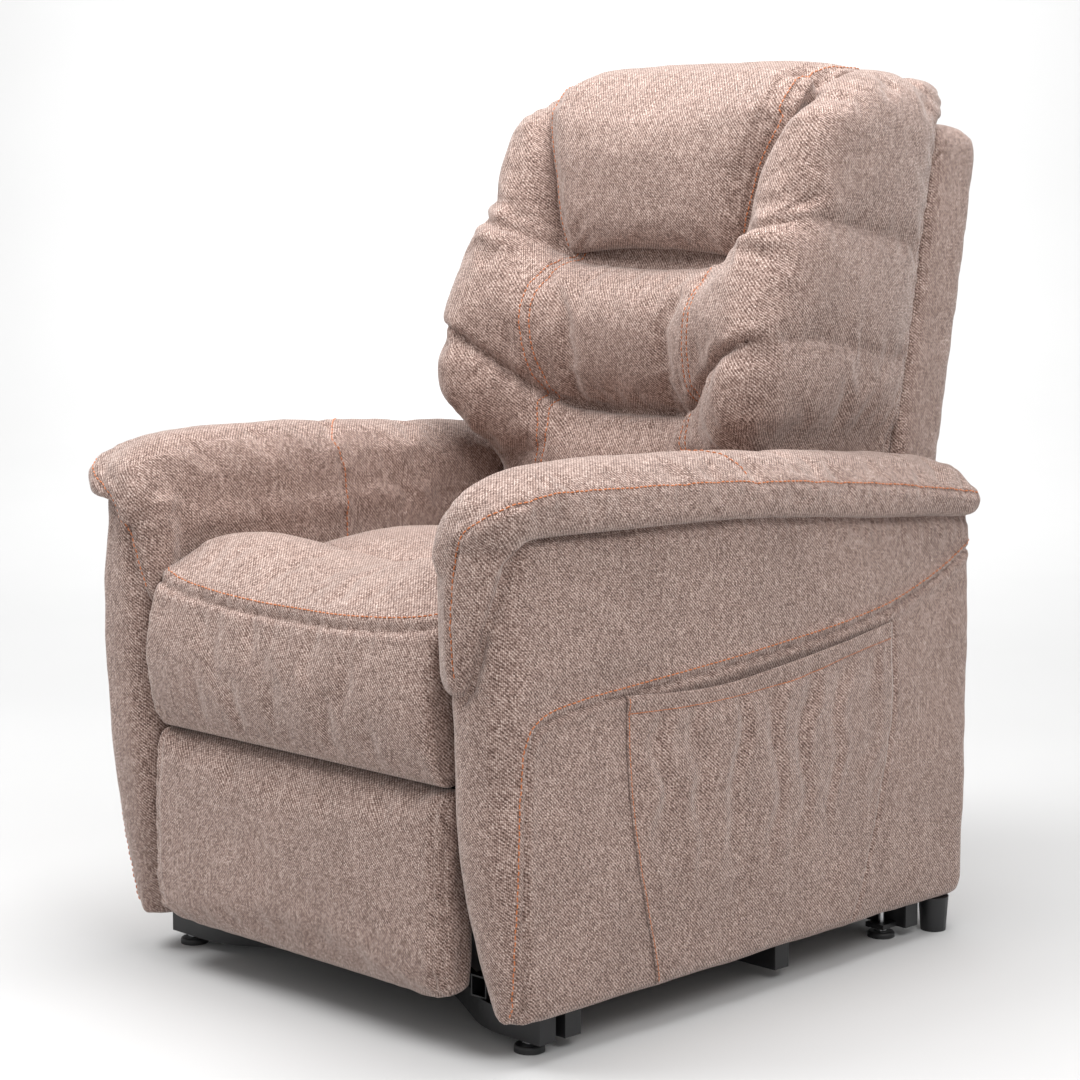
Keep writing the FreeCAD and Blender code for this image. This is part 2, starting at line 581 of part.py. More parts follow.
spring_places = [sheet.get("seat_half") * step / 3 for step in (-2, -1, 0, 1, 2)]
keep(group("springs", *[sinuous_spring("spring_%d" % i, at_x) for i, at_x in enumerate(spring_places)]),
     "seat_springs")

seat_corners = [("front_rail_y - 3", "299"), ("front_rail_y - 31", "299"), ("front_rail_y - 54", "334"),
                ("front_rail_y - 64", "397"), ("front_rail_y - 58", "452"), ("front_rail_y - 38", "488"),
                ("front_rail_y - 12", "505"), ("-400", "524"), ("-345", "531"), ("-290", "518"),
                ("-240", "508"), ("95", "492"), ("95", "seat_rail_top + 1"),
                ("front_rail_y - 3", "seat_rail_top + 1")]
keep(plate("seat_cushion", seat_corners, "-seat_half", "2 * seat_half"), "seat_cushion")

# ---------------------------------------------------------------- arms


def arm_outline(inset):
    """An arm's side outline below its pad, drawn in from its edge by an inset."""
    return [("arm_front_low + %s" % inset, "arm_low + %s" % inset), ("arm_rear - 34", "arm_low + %s" % inset),
            ("arm_rear - 8 - %s" % inset, "arm_low + 12 + %s" % inset),
            ("arm_rear - %s" % inset, "arm_low + 40"),
            ("arm_rear - %s" % inset, "arm_top_rear - %s" % inset), ("-88", "arm_top - 3 - %s" % inset),
            ("arm_front_top + %s" % inset, "arm_top - %s" % inset),
            ("arm_front_mid + %s" % inset, "arm_mid_z")]


left_and_right("arm_inner_panel", plate("arm_inner_panel", arm_outline("0"), "chassis_half",
                                        "arm_board_in - chassis_half"))
both_sides("arm_boards", plate("arm_board", arm_outline("10"), "arm_board_in", "arm_board_thick"))
left_and_right("arm_outer_panel", plate("arm_outer_panel", arm_outline("0"), "arm_board_in + arm_board_thick",
                                        "arm_outer - arm_board_in - arm_board_thick"))

pad_corners = [("arm_rear", "arm_top_rear + 0.3"), ("arm_rear", "582"), ("200", "622"), ("-20", "643"),
               ("-300", "649"), ("-400", "645"), ("-452", "630"), ("-480", "604"), ("-491", "565"),
               ("-492", "500"), ("-486", "437"), ("-474", "437"), ("arm_front_top - 0.3", "arm_top + 0.3"),
               ("-88", "arm_top - 2.7")]
left_and_right("arm_pad", plate("arm_pad", pad_corners, "pad_in", "pad_out - pad_in"))


def pouch_outline(inset, mouth_raise):
    """The side pocket's outline: narrower at the bottom, its mouth rising to the rear."""
    return [("-218 + %s" % inset, "pocket_low + %s" % inset),
            ("139 - %s" % inset, "pocket_low + 8 + %s" % inset),
            ("202 - %s" % inset, "pocket_mouth_rear + %s" % mouth_raise),
            ("-276 + %s" % inset, "pocket_mouth_front + %s" % mouth_raise)]


pouch = cut("pouch", plate("pouch_outer", pouch_outline("0", "0"), "arm_outer", "pocket_outer - arm_outer"),
            plate("pouch_hollow", pouch_outline("4", "8"), "arm_outer - 1",
                  "pocket_outer - arm_outer + 1 - pocket_skin"))
left_and_right("side_pocket", pouch)

rear_leg = doc.addObject("Part::Cone", "rear_leg")
bind(rear_leg, Radius1="leg_low_radius", Radius2="leg_top_radius", Height="arm_low - leg_low",
     Placement__Base__x="leg_x", Placement__Base__y="leg_y", Placement__Base__z="leg_low")
both_sides("rear_legs", rear_leg)
keep(box("rear_panel", ("-chassis_half + 0.5", "chassis_half - 0.5"),
         ("arm_rear - 16", "arm_rear - 4"), ("footpad_low + 2", "225")), "rear_panel")

supply_box = box("supply_box", ("-150", "-30"), ("arm_rear - 58", "arm_rear - 16"), ("92", "160"))
supply = rounded("supply_case", supply_box, 6, along(X_AXIS))
gland = cylinder("supply_gland", "9", ("-90", "arm_rear - 37", "80"), "12")
keep(fuse("supply_with_gland", supply, gland), "control_box")

back_drive_seat = ("back_motor_y", "back_motor_z")
ears = [bar_link("back_ear_" + side, chassis_tube, back_drive_seat, "14", place, "crank_plate",
                 [(chassis_tube, "round_tube")])
        for side, place in (("left", "back_motor_x + crank_gap / 2"),
                            ("right", "back_motor_x - crank_gap / 2 - crank_plate"))]
ear_pin = cylinder("back_ear_pin", "drive_pin",
                   ("back_motor_x - crank_gap / 2 - crank_plate",) + back_drive_seat,
                   "crank_gap + 2 * crank_plate", "x")
keep(fuse("back_ears", *ears, ear_pin), "back_motor_bracket")
linear_drive("back_motor", "back_motor_x", back_drive_seat, ("back_hinge_y", "back_hinge_z - back_lever"),
             1, "back_stroke")

# ---------------------------------------------------------------- backrest


def shell_line(height, inward):
    """A point of the reclined rear face at a height, moved forward by a distance."""
    lean = "(shell_top_y - shell_rear_y) / (shell_top - shell_low)"
    return ("shell_rear_y + %s * ((%s) - shell_low) - (%s)" % (lean, height, inward), height)


shell_outer = plate("shell_outer", [shell_line("shell_low", "0"), shell_line("shell_top - 12", "0"),
                                    shell_line("shell_top", "12"), shell_line("shell_top", "shell_deep"),
                                    shell_line("shell_low", "shell_deep")], "-shell_half", "2 * shell_half")
shell_inner = plate("shell_inner", [shell_line("shell_low - 10", "14"), shell_line("shell_top - 14", "14"),
                                    shell_line("shell_top - 14", "shell_deep + 20"),
                                    shell_line("shell_low - 10", "shell_deep + 20")],
                    "-shell_half + shell_wall", "2 * (shell_half - shell_wall)")
keep(cut("back_shell", shell_outer, shell_inner), "back_shell")

post_corners = [shell_line("back_hinge_z + 26", "shell_deep - 15"), shell_line("990", "shell_deep - 15"),
                shell_line("990", "shell_deep - 50"), shell_line("back_hinge_z + 26", "shell_deep - 50")]
both_sides("back_posts", plate("back_post", post_corners, "post_in", "post_wide"))
hinge_corners = [("back_hinge_y - 16", "back_hinge_z + 8"), ("back_hinge_y - 16", "back_hinge_z - 12"),
                 ("back_hinge_y - 8", "back_hinge_z - 18"), ("back_hinge_y + 8", "back_hinge_z - 18"),
                 ("back_hinge_y + 17", "back_hinge_z - 10"),
                 shell_line("back_hinge_z + 20", "shell_deep - 48"),
                 shell_line("480", "shell_deep - 48"), shell_line("480", "shell_deep - 17"),
                 shell_line("back_hinge_z + 20", "shell_deep - 8")]
both_sides("back_hinge_plates", plate("back_hinge_plate", hinge_corners, "back_plate_in", "plate_thick",
                                      [(hinge, running)]))
rails = []
for place, height in (("low", "back_hinge_z + 30"), ("top", "950")):
    rail_corners = [shell_line(height, "shell_deep - 15"), shell_line(height + " + 40", "shell_deep - 15"),
                    shell_line(height + " + 40", "shell_deep - 35"), shell_line(height, "shell_deep - 35")]
    rails.append(plate("back_rail_" + place, rail_corners, "-post_in", "2 * post_in"))
keep(group("back_rails", *rails), "back_cross_rails")
lever_corners = [("back_hinge_y - 12", "back_hinge_z - back_lever - 12"),
                 ("back_hinge_y + 12", "back_hinge_z - back_lever - 12"),
                 ("back_hinge_y + 14", "back_hinge_z"),
                 shell_line("back_hinge_z + 26", "shell_deep - 15"), shell_line("390", "shell_deep - 15"),
                 shell_line("390", "shell_deep - 1"), ("back_hinge_y - 10", "back_hinge_z")]
lever_pin = ("back_hinge_y", "back_hinge_z - back_lever")
keep(fuse("lever", *drive_ears("lever", "back_motor_x", lever_corners, lever_pin)), "back_lever")

cushion_corners = [("105", "400"), ("104", "560"), ("94", "660"), ("76", "745"), ("82", "805"),
                   ("118", "858"), ("172", "885"), ("196", "950"), ("206", "1010"), ("222", "1060"),
                   ("250", "1090"), ("300", "1101"), ("440", "1101"), ("470", "1086"),
                   ("468", "shell_top + 8"),
                   shell_line("shell_top + 8", "shell_deep"), shell_line("400", "shell_deep + 0.5")]
keep(plate("back_cushion", cushion_corners, "-back_half", "2 * back_half"), "back_cushion")
pillow_corners = [("152", "884"), ("138", "930"), ("144", "1010"), ("162", "1070"), ("200", "1108"),
                  ("262", "1122"), ("345", "1120"), ("352", "1101.5"), ("300", "1101.5"), ("249.5", "1090.5"),
                  ("221.5", "1060.5"), ("205.5", "1010"), ("195.5", "950"), ("171.5", "887")]
keep(plate("head_pillow", pillow_corners, "-177", "354"), "head_pillow")

# ---------------------------------------------------------------- footrest


def scissor_link(name, start, end, layer, holes=(), pins=()):
    """A flat scissor link with running holes and riveted pins of (centre, start, length)."""
    body = bar_link(name, start, end, "scissor_end", layer, "scissor_thick",
                    [(centre, scissor_hole) for centre in holes])
    if not pins:
        return body
    rivets = [cylinder("%s_rivet_%d" % (name, i), "scissor_pin", (low,) + centre, "(%s) - (%s)" % (high, low),
                       "x")
              for i, (centre, low, high) in enumerate(pins)]
    return fuse(name + "_riveted", body, *rivets)


inner_face = "inner_link_in - 1"
outer_face = "outer_link_in + scissor_thick + 1"
outer_link_top = "outer_link_in + scissor_thick"
inner_link_top = "inner_link_in + scissor_thick"
slot_face = "foot_plate_in + foot_plate_thick - 0.5"
both_sides("footrest_links_a", scissor_link("link_a", pivot_first, pivot_low, "outer_link_in", [pivot_first],
                                            [(pivot_cross, inner_face, outer_link_top),
                                             (pivot_low, inner_face, outer_link_top)]))
both_sides("footrest_links_b", scissor_link("link_b", pivot_high, pivot_slot, "inner_link_in", [pivot_cross],
                                            [(pivot_high, "inner_link_in", outer_face),
                                             (pivot_slot, "inner_link_in", slot_face)]))
both_sides("footrest_links_c", scissor_link("link_c", pivot_high, pivot_second_cross, "outer_link_in",
                                            [pivot_high, pivot_second_cross]))
both_sides("footrest_links_d", scissor_link("link_d", pivot_low, pivot_board, "inner_link_in", [pivot_low],
                                            [(pivot_second_cross, "inner_link_in", outer_face),
                                             (pivot_board, "board_lug_in - 1", inner_link_top)]))

lug_corners = [("board_rear", "board_top - 90"), ("board_rear", "board_top"),
               (pivot_board[0] + " - 14", pivot_board[1] + " + 9"),
               (pivot_board[0] + " + 6", pivot_board[1] + " + 9"),
               (pivot_board[0] + " + 10", pivot_board[1] + " - 8"), ("board_rear + 22", "board_top - 90")]
both_sides("footrest_lugs", plate("footrest_lug", lug_corners, "board_lug_in", "scissor_thick",
                                  [(pivot_board, scissor_hole)]))
board = box("footrest_board_blank", ("-board_half", "board_half"), ("board_rear - board_thick", "board_rear"),
            ("board_low", "board_top"))
keep(rounded("footrest_board_rounded", board, "board_corner", along(Y_AXIS)), "footrest_board")
footpad_corners = [("board_rear - board_thick - 0.3", "footpad_low + 4"),
                   ("footpad_front + 14", "footpad_low"),
                   ("footpad_front", "footpad_low + 22"), ("footpad_front", "footpad_top - 16"),
                   ("footpad_front + 10", "footpad_top"),
                   ("board_rear - board_thick - 0.3", "footpad_top - 2")]
keep(plate("footrest_pad", footpad_corners, "-footpad_half", "2 * footpad_half"), "footrest_pad")

# ---------------------------------------------------------------- checks and files

doc.recompute()
failed = [item.Label for item in doc.Objects if {"Invalid", "Error"} & set(item.State)]
failed += [node.Label for node in nodes
           if node.Shape.isNull() or not node.Shape.isValid() or not node.Shape.Solids]
if failed:
    raise RuntimeError("failed pieces: " + ", ".join(failed))
os.makedirs("parts", exist_ok=True)
to_middle = FreeCAD.Vector(0, -sheet.get("middle_y"), 0)
for node in nodes:
    shape = node.Shape.copy()
    shape.translate(to_middle)
    shape.exportStep(os.path.join("parts", node.Label + ".step"))
print("%d nodes written" % len(nodes))
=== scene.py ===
import json
import math

import bpy
import numpy as np
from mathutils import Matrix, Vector, noise
from mathutils.bvhtree import BVHTree


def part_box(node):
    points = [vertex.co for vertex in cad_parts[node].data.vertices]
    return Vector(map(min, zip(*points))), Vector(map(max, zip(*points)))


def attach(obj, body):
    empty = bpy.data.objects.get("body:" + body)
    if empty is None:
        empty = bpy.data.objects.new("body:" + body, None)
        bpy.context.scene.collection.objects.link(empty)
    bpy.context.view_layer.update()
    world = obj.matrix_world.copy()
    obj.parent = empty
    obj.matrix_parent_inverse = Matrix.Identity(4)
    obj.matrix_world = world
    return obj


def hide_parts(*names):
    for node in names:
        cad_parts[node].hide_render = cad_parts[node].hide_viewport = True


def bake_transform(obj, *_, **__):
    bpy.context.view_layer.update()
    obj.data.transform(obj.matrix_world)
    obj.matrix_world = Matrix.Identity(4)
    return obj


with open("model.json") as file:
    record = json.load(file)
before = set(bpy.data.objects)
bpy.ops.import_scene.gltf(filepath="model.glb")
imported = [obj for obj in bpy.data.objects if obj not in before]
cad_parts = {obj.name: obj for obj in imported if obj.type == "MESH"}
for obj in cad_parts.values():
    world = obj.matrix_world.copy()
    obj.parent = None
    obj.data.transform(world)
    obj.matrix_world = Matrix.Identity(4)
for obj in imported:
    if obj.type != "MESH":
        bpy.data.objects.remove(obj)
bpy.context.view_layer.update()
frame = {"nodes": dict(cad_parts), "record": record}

nodes = frame["nodes"]
MM = 0.001
SIDES = (("left", 1), ("right", -1))

# Every shape below is laid out in millimetres from a datum on the floor, 376 mm in front of the rear face
# of the arms.
DATUM_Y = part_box("arm_outer_panel_left")[1].y - 376 * MM


def placed(points):
    """Millimetres from the datum as metres in the row frame."""
    out = np.array(points, float) * MM
    out[..., 1] += DATUM_Y
    return out


def unplaced(points):
    """Metres in the row frame as millimetres from the datum."""
    out = np.array(points, float)
    out[..., 1] -= DATUM_Y
    return out / MM


# ---------------------------------------------------------------- lines


def resample(line, count):
    """Evenly spaced points along a line."""
    line = np.array(line, float)
    at = np.concatenate([[0], np.cumsum(np.linalg.norm(np.diff(line, axis=0), axis=1))])
    want = np.linspace(0, at[-1], count)
    return np.stack([np.interp(want, at, line[:, k]) for k in range(line.shape[1])], 1)


def spline(points, count=48):
    """A smooth line through given points."""
    p = np.array(points, float)
    ends = np.vstack([2 * p[0] - p[1], p, 2 * p[-1] - p[-2]])
    t = np.linspace(0, 1, 20, endpoint=False)[:, None]
    parts = []
    for i in range(len(p) - 1):
        a, b, c, d = ends[i:i + 4]
        parts.append(0.5 * (2 * b + (c - a) * t + (2 * a - 5 * b + 4 * c - d) * t**2
                            + (3 * b - a - 3 * c + d) * t**3))
    return resample(np.vstack(parts + [p[-1:]]), count)


def curve(stations, values):
    """A smooth function through given values, flat beyond its ends."""
    line = spline(np.column_stack([stations, values]), 160)
    order = np.argsort(line[:, 0])
    return lambda x: np.interp(x, line[order, 0], line[order, 1])


def softened(corners, soften, count=160):
    """A closed outline through corners, with its corners softened over that many millimetres."""
    line = resample(list(corners) + [corners[0]], 361)[:-1]
    step = np.linalg.norm(line[1] - line[0])
    for _ in range(int(2 * (soften / step) ** 2)):
        line = (np.roll(line, 1, 0) + 2 * line + np.roll(line, -1, 0)) / 4
    return resample(np.vstack([line, line[:1]]), count + 1)[:-1]


def inward(outline):
    """Unit normals that point into a closed flat outline."""
    along = np.roll(outline, -1, 0) - np.roll(outline, 1, 0)
    normal = np.stack([-along[:, 1], along[:, 0]], 1)
    normal /= np.linalg.norm(normal, axis=1)[:, None]
    x, y = outline[:, 0], outline[:, 1]
    area = np.sum(x * np.roll(y, -1) - np.roll(x, -1) * y)
    return normal if area > 0 else -normal


def inward_of_seam(seam):
    """Unit steps from a seam towards the puffed side above it."""
    along = np.gradient(seam, axis=0)
    along /= np.linalg.norm(along, axis=1)[:, None]
    return np.column_stack([along[:, 1], -along[:, 0]])


def gap_to(flat, line):
    """Distance from points to a line, how far along it the nearest place is, and on which side in 2-D."""
    best = np.full(len(flat), 1e9)
    along = np.zeros(len(flat))
    side = np.zeros(len(flat))
    start = 0.0
    for a, b in zip(line[:-1], line[1:]):
        d = b - a
        size = np.linalg.norm(d)
        t = np.clip((flat - a) @ d / size**2, 0, 1)
        off = flat - a - t[:, None] * d
        gap = np.linalg.norm(off, axis=1)
        nearer = gap < best
        best[nearer] = gap[nearer]
        along[nearer] = start + t[nearer] * size
        side[nearer] = np.sign(d[0] * off[nearer, 1] - d[1] * off[nearer, 0])
        start += size
    return best, along, side


def step_up(low, high, value):
    """0 below low, 1 above high and smooth between."""
    t = np.clip((value - low) / (high - low), 0, 1)
    return t * t * (3 - 2 * t)


def bump(value, centre, width):
    return np.exp(-((value - centre) / width) ** 2)


def ripple(points, scale, seed=0.0):
    """Smooth noise of about -1 to 1 at points in millimetres, with waves about scale long."""
    scaled = np.array(points, float) / scale + seed
    return np.array([noise.noise(Vector(p)) for p in scaled])


# ---------------------------------------------------------------- meshes


def new_object(name, verts, faces):
    mesh = bpy.data.meshes.new(name)
    mesh.from_pydata([tuple(v) for v in verts], [], faces)
    mesh.validate()
    mesh.update()
    obj = bpy.data.objects.new(name, mesh)
    bpy.context.scene.collection.objects.link(obj)
    return obj


def loft(name, rings):
    """A closed mesh through rings of points in millimetres, capped at both ends."""
    rings = [np.array(r, float) for r in rings]
    n = len(rings[0])
    verts = np.vstack(rings + [rings[0].mean(0)[None], rings[-1].mean(0)[None]])
    faces = []
    for i in range(len(rings) - 1):
        for k in range(n):
            j = (k + 1) % n
            faces.append((i * n + k, i * n + j, (i + 1) * n + j, (i + 1) * n + k))
    low, high, last = len(verts) - 2, len(verts) - 1, (len(rings) - 1) * n
    for k in range(n):
        j = (k + 1) % n
        faces.append((low, j, k))
        faces.append((high, last + k, last + j))
    return new_object(name, placed(verts), faces)


def inset_rings(ring_of, steps, plane):
    """Rings at the given stations, each moved inward in its plane by that station's inset."""
    rings = []
    for at, inset in steps:
        ring = ring_of(at)
        ring[:, plane] += inward(ring[:, plane]) * inset
        rings.append(ring)
    return rings


def slab(name, outline, half, edge, stations=12, shape=None):
    """A form whose Y-Z outline is carried across X, with its two ends rounded over edge millimetres."""
    into = inward(outline)
    angles = np.linspace(math.pi / 2, 0, 6)
    flat = [(-half + edge - edge * math.sin(a), edge * (1 - math.cos(a))) for a in angles]
    middle = [(x, 0.0) for x in np.linspace(-half + edge, half - edge, stations)[1:-1]]
    rings = []
    for x, inset in flat + middle + [(-x, inset) for x, inset in flat[::-1]]:
        line = outline + into * inset
        ring = np.column_stack([np.full(len(line), x), line])
        rings.append(ring if shape is None else shape(ring))
    return loft(name, rings)


def applied(obj):
    """The object with its modifiers made part of its mesh."""
    graph = bpy.context.evaluated_depsgraph_get()
    mesh = bpy.data.meshes.new_from_object(obj.evaluated_get(graph))
    obj.modifiers.clear()
    old = obj.data
    obj.data = mesh
    bpy.data.meshes.remove(old)
    return obj


def remeshed(obj, voxel):
    made = obj.modifiers.new("remesh", "REMESH")
    made.mode = "VOXEL"
    made.voxel_size = voxel * MM
    return applied(obj)


def subdivided(obj, levels=1):
    made = obj.modifiers.new("subdivide", "SUBSURF")
    made.levels = made.render_levels = levels
    return applied(obj)


def points_of(obj):
    """The mesh's points in millimetres from the datum."""
    co = np.zeros(len(obj.data.vertices) * 3)
    obj.data.vertices.foreach_get("co", co)
    return unplaced(co.reshape(-1, 3))


def normals_of(obj):
    out = np.zeros(len(obj.data.vertices) * 3)
    obj.data.vertex_normals.foreach_get("vector", out)
    return out.reshape(-1, 3)


def set_points(obj, points):
    obj.data.vertices.foreach_set("co", placed(points).ravel())
    obj.data.update()
    return obj


def evened(obj, rounds):
    made = obj.modifiers.new("even", "SMOOTH")
    made.iterations = rounds
    made.factor = 0.5
    return applied(obj)


def inflated(obj, cap, held=None, pressure=4.0, slack=0.02):
    """Blows the piece up as cloth over twenty frames. No point moves further than cap millimetres,
    and held says from 0 to 1 how firmly each point stays sewn down."""
    rest = points_of(obj)
    cloth = obj.modifiers.new("cloth", "CLOTH")
    cloth.settings.quality = 4
    cloth.settings.mass = 0.3
    cloth.settings.tension_stiffness = cloth.settings.compression_stiffness = 12
    cloth.settings.shear_stiffness = 5
    cloth.settings.bending_stiffness = 0.4
    cloth.settings.use_pressure = True
    cloth.settings.uniform_pressure_force = pressure
    cloth.settings.shrink_min = -slack
    cloth.settings.effector_weights.gravity = 0
    cloth.point_cache.frame_start, cloth.point_cache.frame_end = 1, 20
    if held is not None:
        group = obj.vertex_groups.new(name="sewn")
        weights = np.round(np.clip(held(rest), 0, 1) * 5) / 5
        for level in np.unique(weights[weights > 0]):
            group.add(np.flatnonzero(weights == level).tolist(), float(level), "REPLACE")
        cloth.settings.vertex_group_mass = "sewn"
    for at in range(1, 21):
        bpy.context.scene.frame_set(at)
    graph = bpy.context.evaluated_depsgraph_get()
    swollen = obj.evaluated_get(graph).to_mesh()
    co = np.zeros(len(swollen.vertices) * 3)
    swollen.vertices.foreach_get("co", co)
    obj.evaluated_get(graph).to_mesh_clear()
    obj.modifiers.clear()
    obj.vertex_groups.clear()
    move = unplaced(co.reshape(-1, 3)) - rest
    size = np.maximum(np.linalg.norm(move, axis=1), 1e-6)
    move *= (cap * np.tanh(size / cap) / size)[:, None]
    bpy.context.scene.frame_set(1)
    return set_points(obj, rest + move)


def pressed(points, normals, gap, along, mask, depth=4.0, width=3.5, pucker=0.25, puff=1.0):
    """Draws a seam into a surface, given each point's distance from it and place along it."""
    near = gap < 60
    press = np.zeros(len(points))
    g, s = gap[near], along[near]
    wave = 1 + pucker * np.sin(s / 5.3) * np.sin(s / 17.0 + 1.3)
    gathers = np.sin(s / 3.4 + 1.7 * np.sin(s / 31)) * bump(g, 2 * width, 2.5 * width)
    press[near] = (-depth * bump(g, 0, width) * wave + puff * bump(g, 3.2 * width, 2.2 * width)
                   + 0.5 * pucker * depth * gathers)
    return points + normals * (press * mask)[:, None]


def sewn(points, normals, flat, line, mask, depth=4.0, width=3.5, pucker=0.25, puff=1.0):
    """Draws a seam into a surface along a line, with the fabric puffed and puckered beside it."""
    gap, along, _ = gap_to(flat, line)
    return pressed(points, normals, gap, along, mask, depth, width, pucker, puff)


def shaded(obj, material):
    obj.data.materials.clear()
    obj.data.materials.append(material)
    obj.data.polygons.foreach_set("use_smooth", np.ones(len(obj.data.polygons), bool))
    return obj


def covered(obj, name, points):
    """The shaped piece under its own name, in the chair's fabric."""
    set_points(obj, points)
    obj.name = name
    return shaded(obj, fabric)


# ---------------------------------------------------------------- thread


def dropped(obj, line, towards):
    """A line of points in millimetres laid onto a surface along a direction: places and normals in metres."""
    tree = BVHTree.FromObject(obj, bpy.context.evaluated_depsgraph_get())
    direction = Vector(towards).normalized()
    found = []
    for p in placed(line):
        hit, normal, _, _ = tree.ray_cast(Vector(p) - direction * 0.25, direction)
        if hit is not None:
            found.append((np.array(hit), np.array(normal)))
    return found


def snapped(obj, line):
    """A line of points in millimetres moved to the nearest places of a surface: places, normals in metres."""
    tree = BVHTree.FromObject(obj, bpy.context.evaluated_depsgraph_get())
    found = []
    for p in placed(line):
        hit, normal, _, _ = tree.find_nearest(Vector(p))
        found.append((np.array(hit), np.array(normal)))
    return found


STITCH, STITCH_GAP, THREAD_RADIUS = 5.8, 1.5, 0.85


def stitching(name, runs, body):
    """Topstitching: short threads in a row along each run of places and normals."""
    swell = THREAD_RADIUS * np.array([0.55, 0.95, 1.0, 1.0, 0.95, 0.55])
    lift = THREAD_RADIUS * np.array([-0.55, 0.35, 0.7, 0.7, 0.35, -0.55])
    verts, faces = [], []
    for run in runs:
        places = np.array([p for p, _ in run])
        normals = np.array([n for _, n in run])
        at = np.concatenate([[0], np.cumsum(np.linalg.norm(np.diff(places, axis=0), axis=1))]) / MM
        start = STITCH_GAP
        while start + STITCH < at[-1]:
            s = start + STITCH * np.linspace(0, 1, 6)
            mid = np.stack([np.interp(s, at, places[:, k]) for k in range(3)], 1)
            up = np.stack([np.interp(s, at, normals[:, k]) for k in range(3)], 1)
            up /= np.linalg.norm(up, axis=1)[:, None]
            along = np.gradient(mid, axis=0)
            along /= np.linalg.norm(along, axis=1)[:, None]
            across = np.cross(along, up)
            base = len(verts)
            for k in range(6):
                for a in np.linspace(0, 2 * math.pi, 6, endpoint=False):
                    off = up[k] * (lift[k] + swell[k] * math.sin(a)) + across[k] * swell[k] * math.cos(a)
                    verts.append(mid[k] + off * MM)
            for k in range(5):
                for j in range(6):
                    m, low = (j + 1) % 6, base + k * 6
                    faces.append((low + j, low + m, low + 6 + m, low + 6 + j))
            faces.append(tuple(base + j for j in range(5, -1, -1)))
            faces.append(tuple(base + 30 + j for j in range(6)))
            start += STITCH + STITCH_GAP
    obj = shaded(new_object(name, verts, faces), thread)
    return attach(obj, body)


# ---------------------------------------------------------------- materials


class Shader:
    """A material and short ways to add nodes to it."""

    def __init__(self, name, **settings):
        self.material = bpy.data.materials.new(name)
        self.material.use_nodes = True
        self.tree = self.material.node_tree
        self.shader = self.tree.nodes["Principled BSDF"]
        for key, value in settings.items():
            self.shader.inputs[key.replace("_", " ")].default_value = value

    def node(self, kind, inputs=(), **settings):
        made = self.tree.nodes.new("ShaderNode" + kind)
        for key, value in settings.items():
            setattr(made, key, value)
        for key, value in dict(inputs).items():
            self.feed(made.inputs[key], value)
        return made

    def feed(self, socket, value):
        if isinstance(value, bpy.types.NodeSocket):
            self.tree.links.new(value, socket)
        else:
            socket.default_value = value

    def calc(self, operation, *values):
        return self.node("Math", dict(enumerate(values)), operation=operation).outputs[0]

    def mix(self, factor, a, b, blend="MIX"):
        made = self.node("Mix", {0: factor, 6: a, 7: b}, data_type="RGBA", blend_type=blend)
        return made.outputs[2]

    def noise(self, vector, scale, detail=2.0, rough=0.5):
        return self.node("TexNoise", {"Vector": vector, "Scale": scale, "Detail": detail,
                                      "Roughness": rough}).outputs["Fac"]

    def ramp(self, factor, stops):
        made = self.node("ValToRGB", {"Fac": factor})
        points = made.color_ramp.elements
        while len(points) < len(stops):
            points.new(0.5)
        for point, (at, colour) in zip(points, stops):
            point.position = at
            point.color = (*colour, 1)
        return made.outputs["Color"]

    def spread(self, value, low, high, new_low, new_high):
        return self.node("MapRange", {"Value": value, "From Min": low, "From Max": high, "To Min": new_low,
                                      "To Max": new_high}).outputs["Result"]

    def finish(self, colour=None, roughness=None, height=None, strength=0.5, distance=0.001):
        if colour is not None:
            self.feed(self.shader.inputs["Base Color"], colour)
        if roughness is not None:
            self.feed(self.shader.inputs["Roughness"], roughness)
        if height is not None:
            made = self.node("Bump", {"Height": height, "Strength": strength, "Distance": distance})
            self.feed(self.shader.inputs["Normal"], made.outputs["Normal"])
        return self.material


WEAVE_PITCH, SLANT_PERIOD = 1.75, 2.4


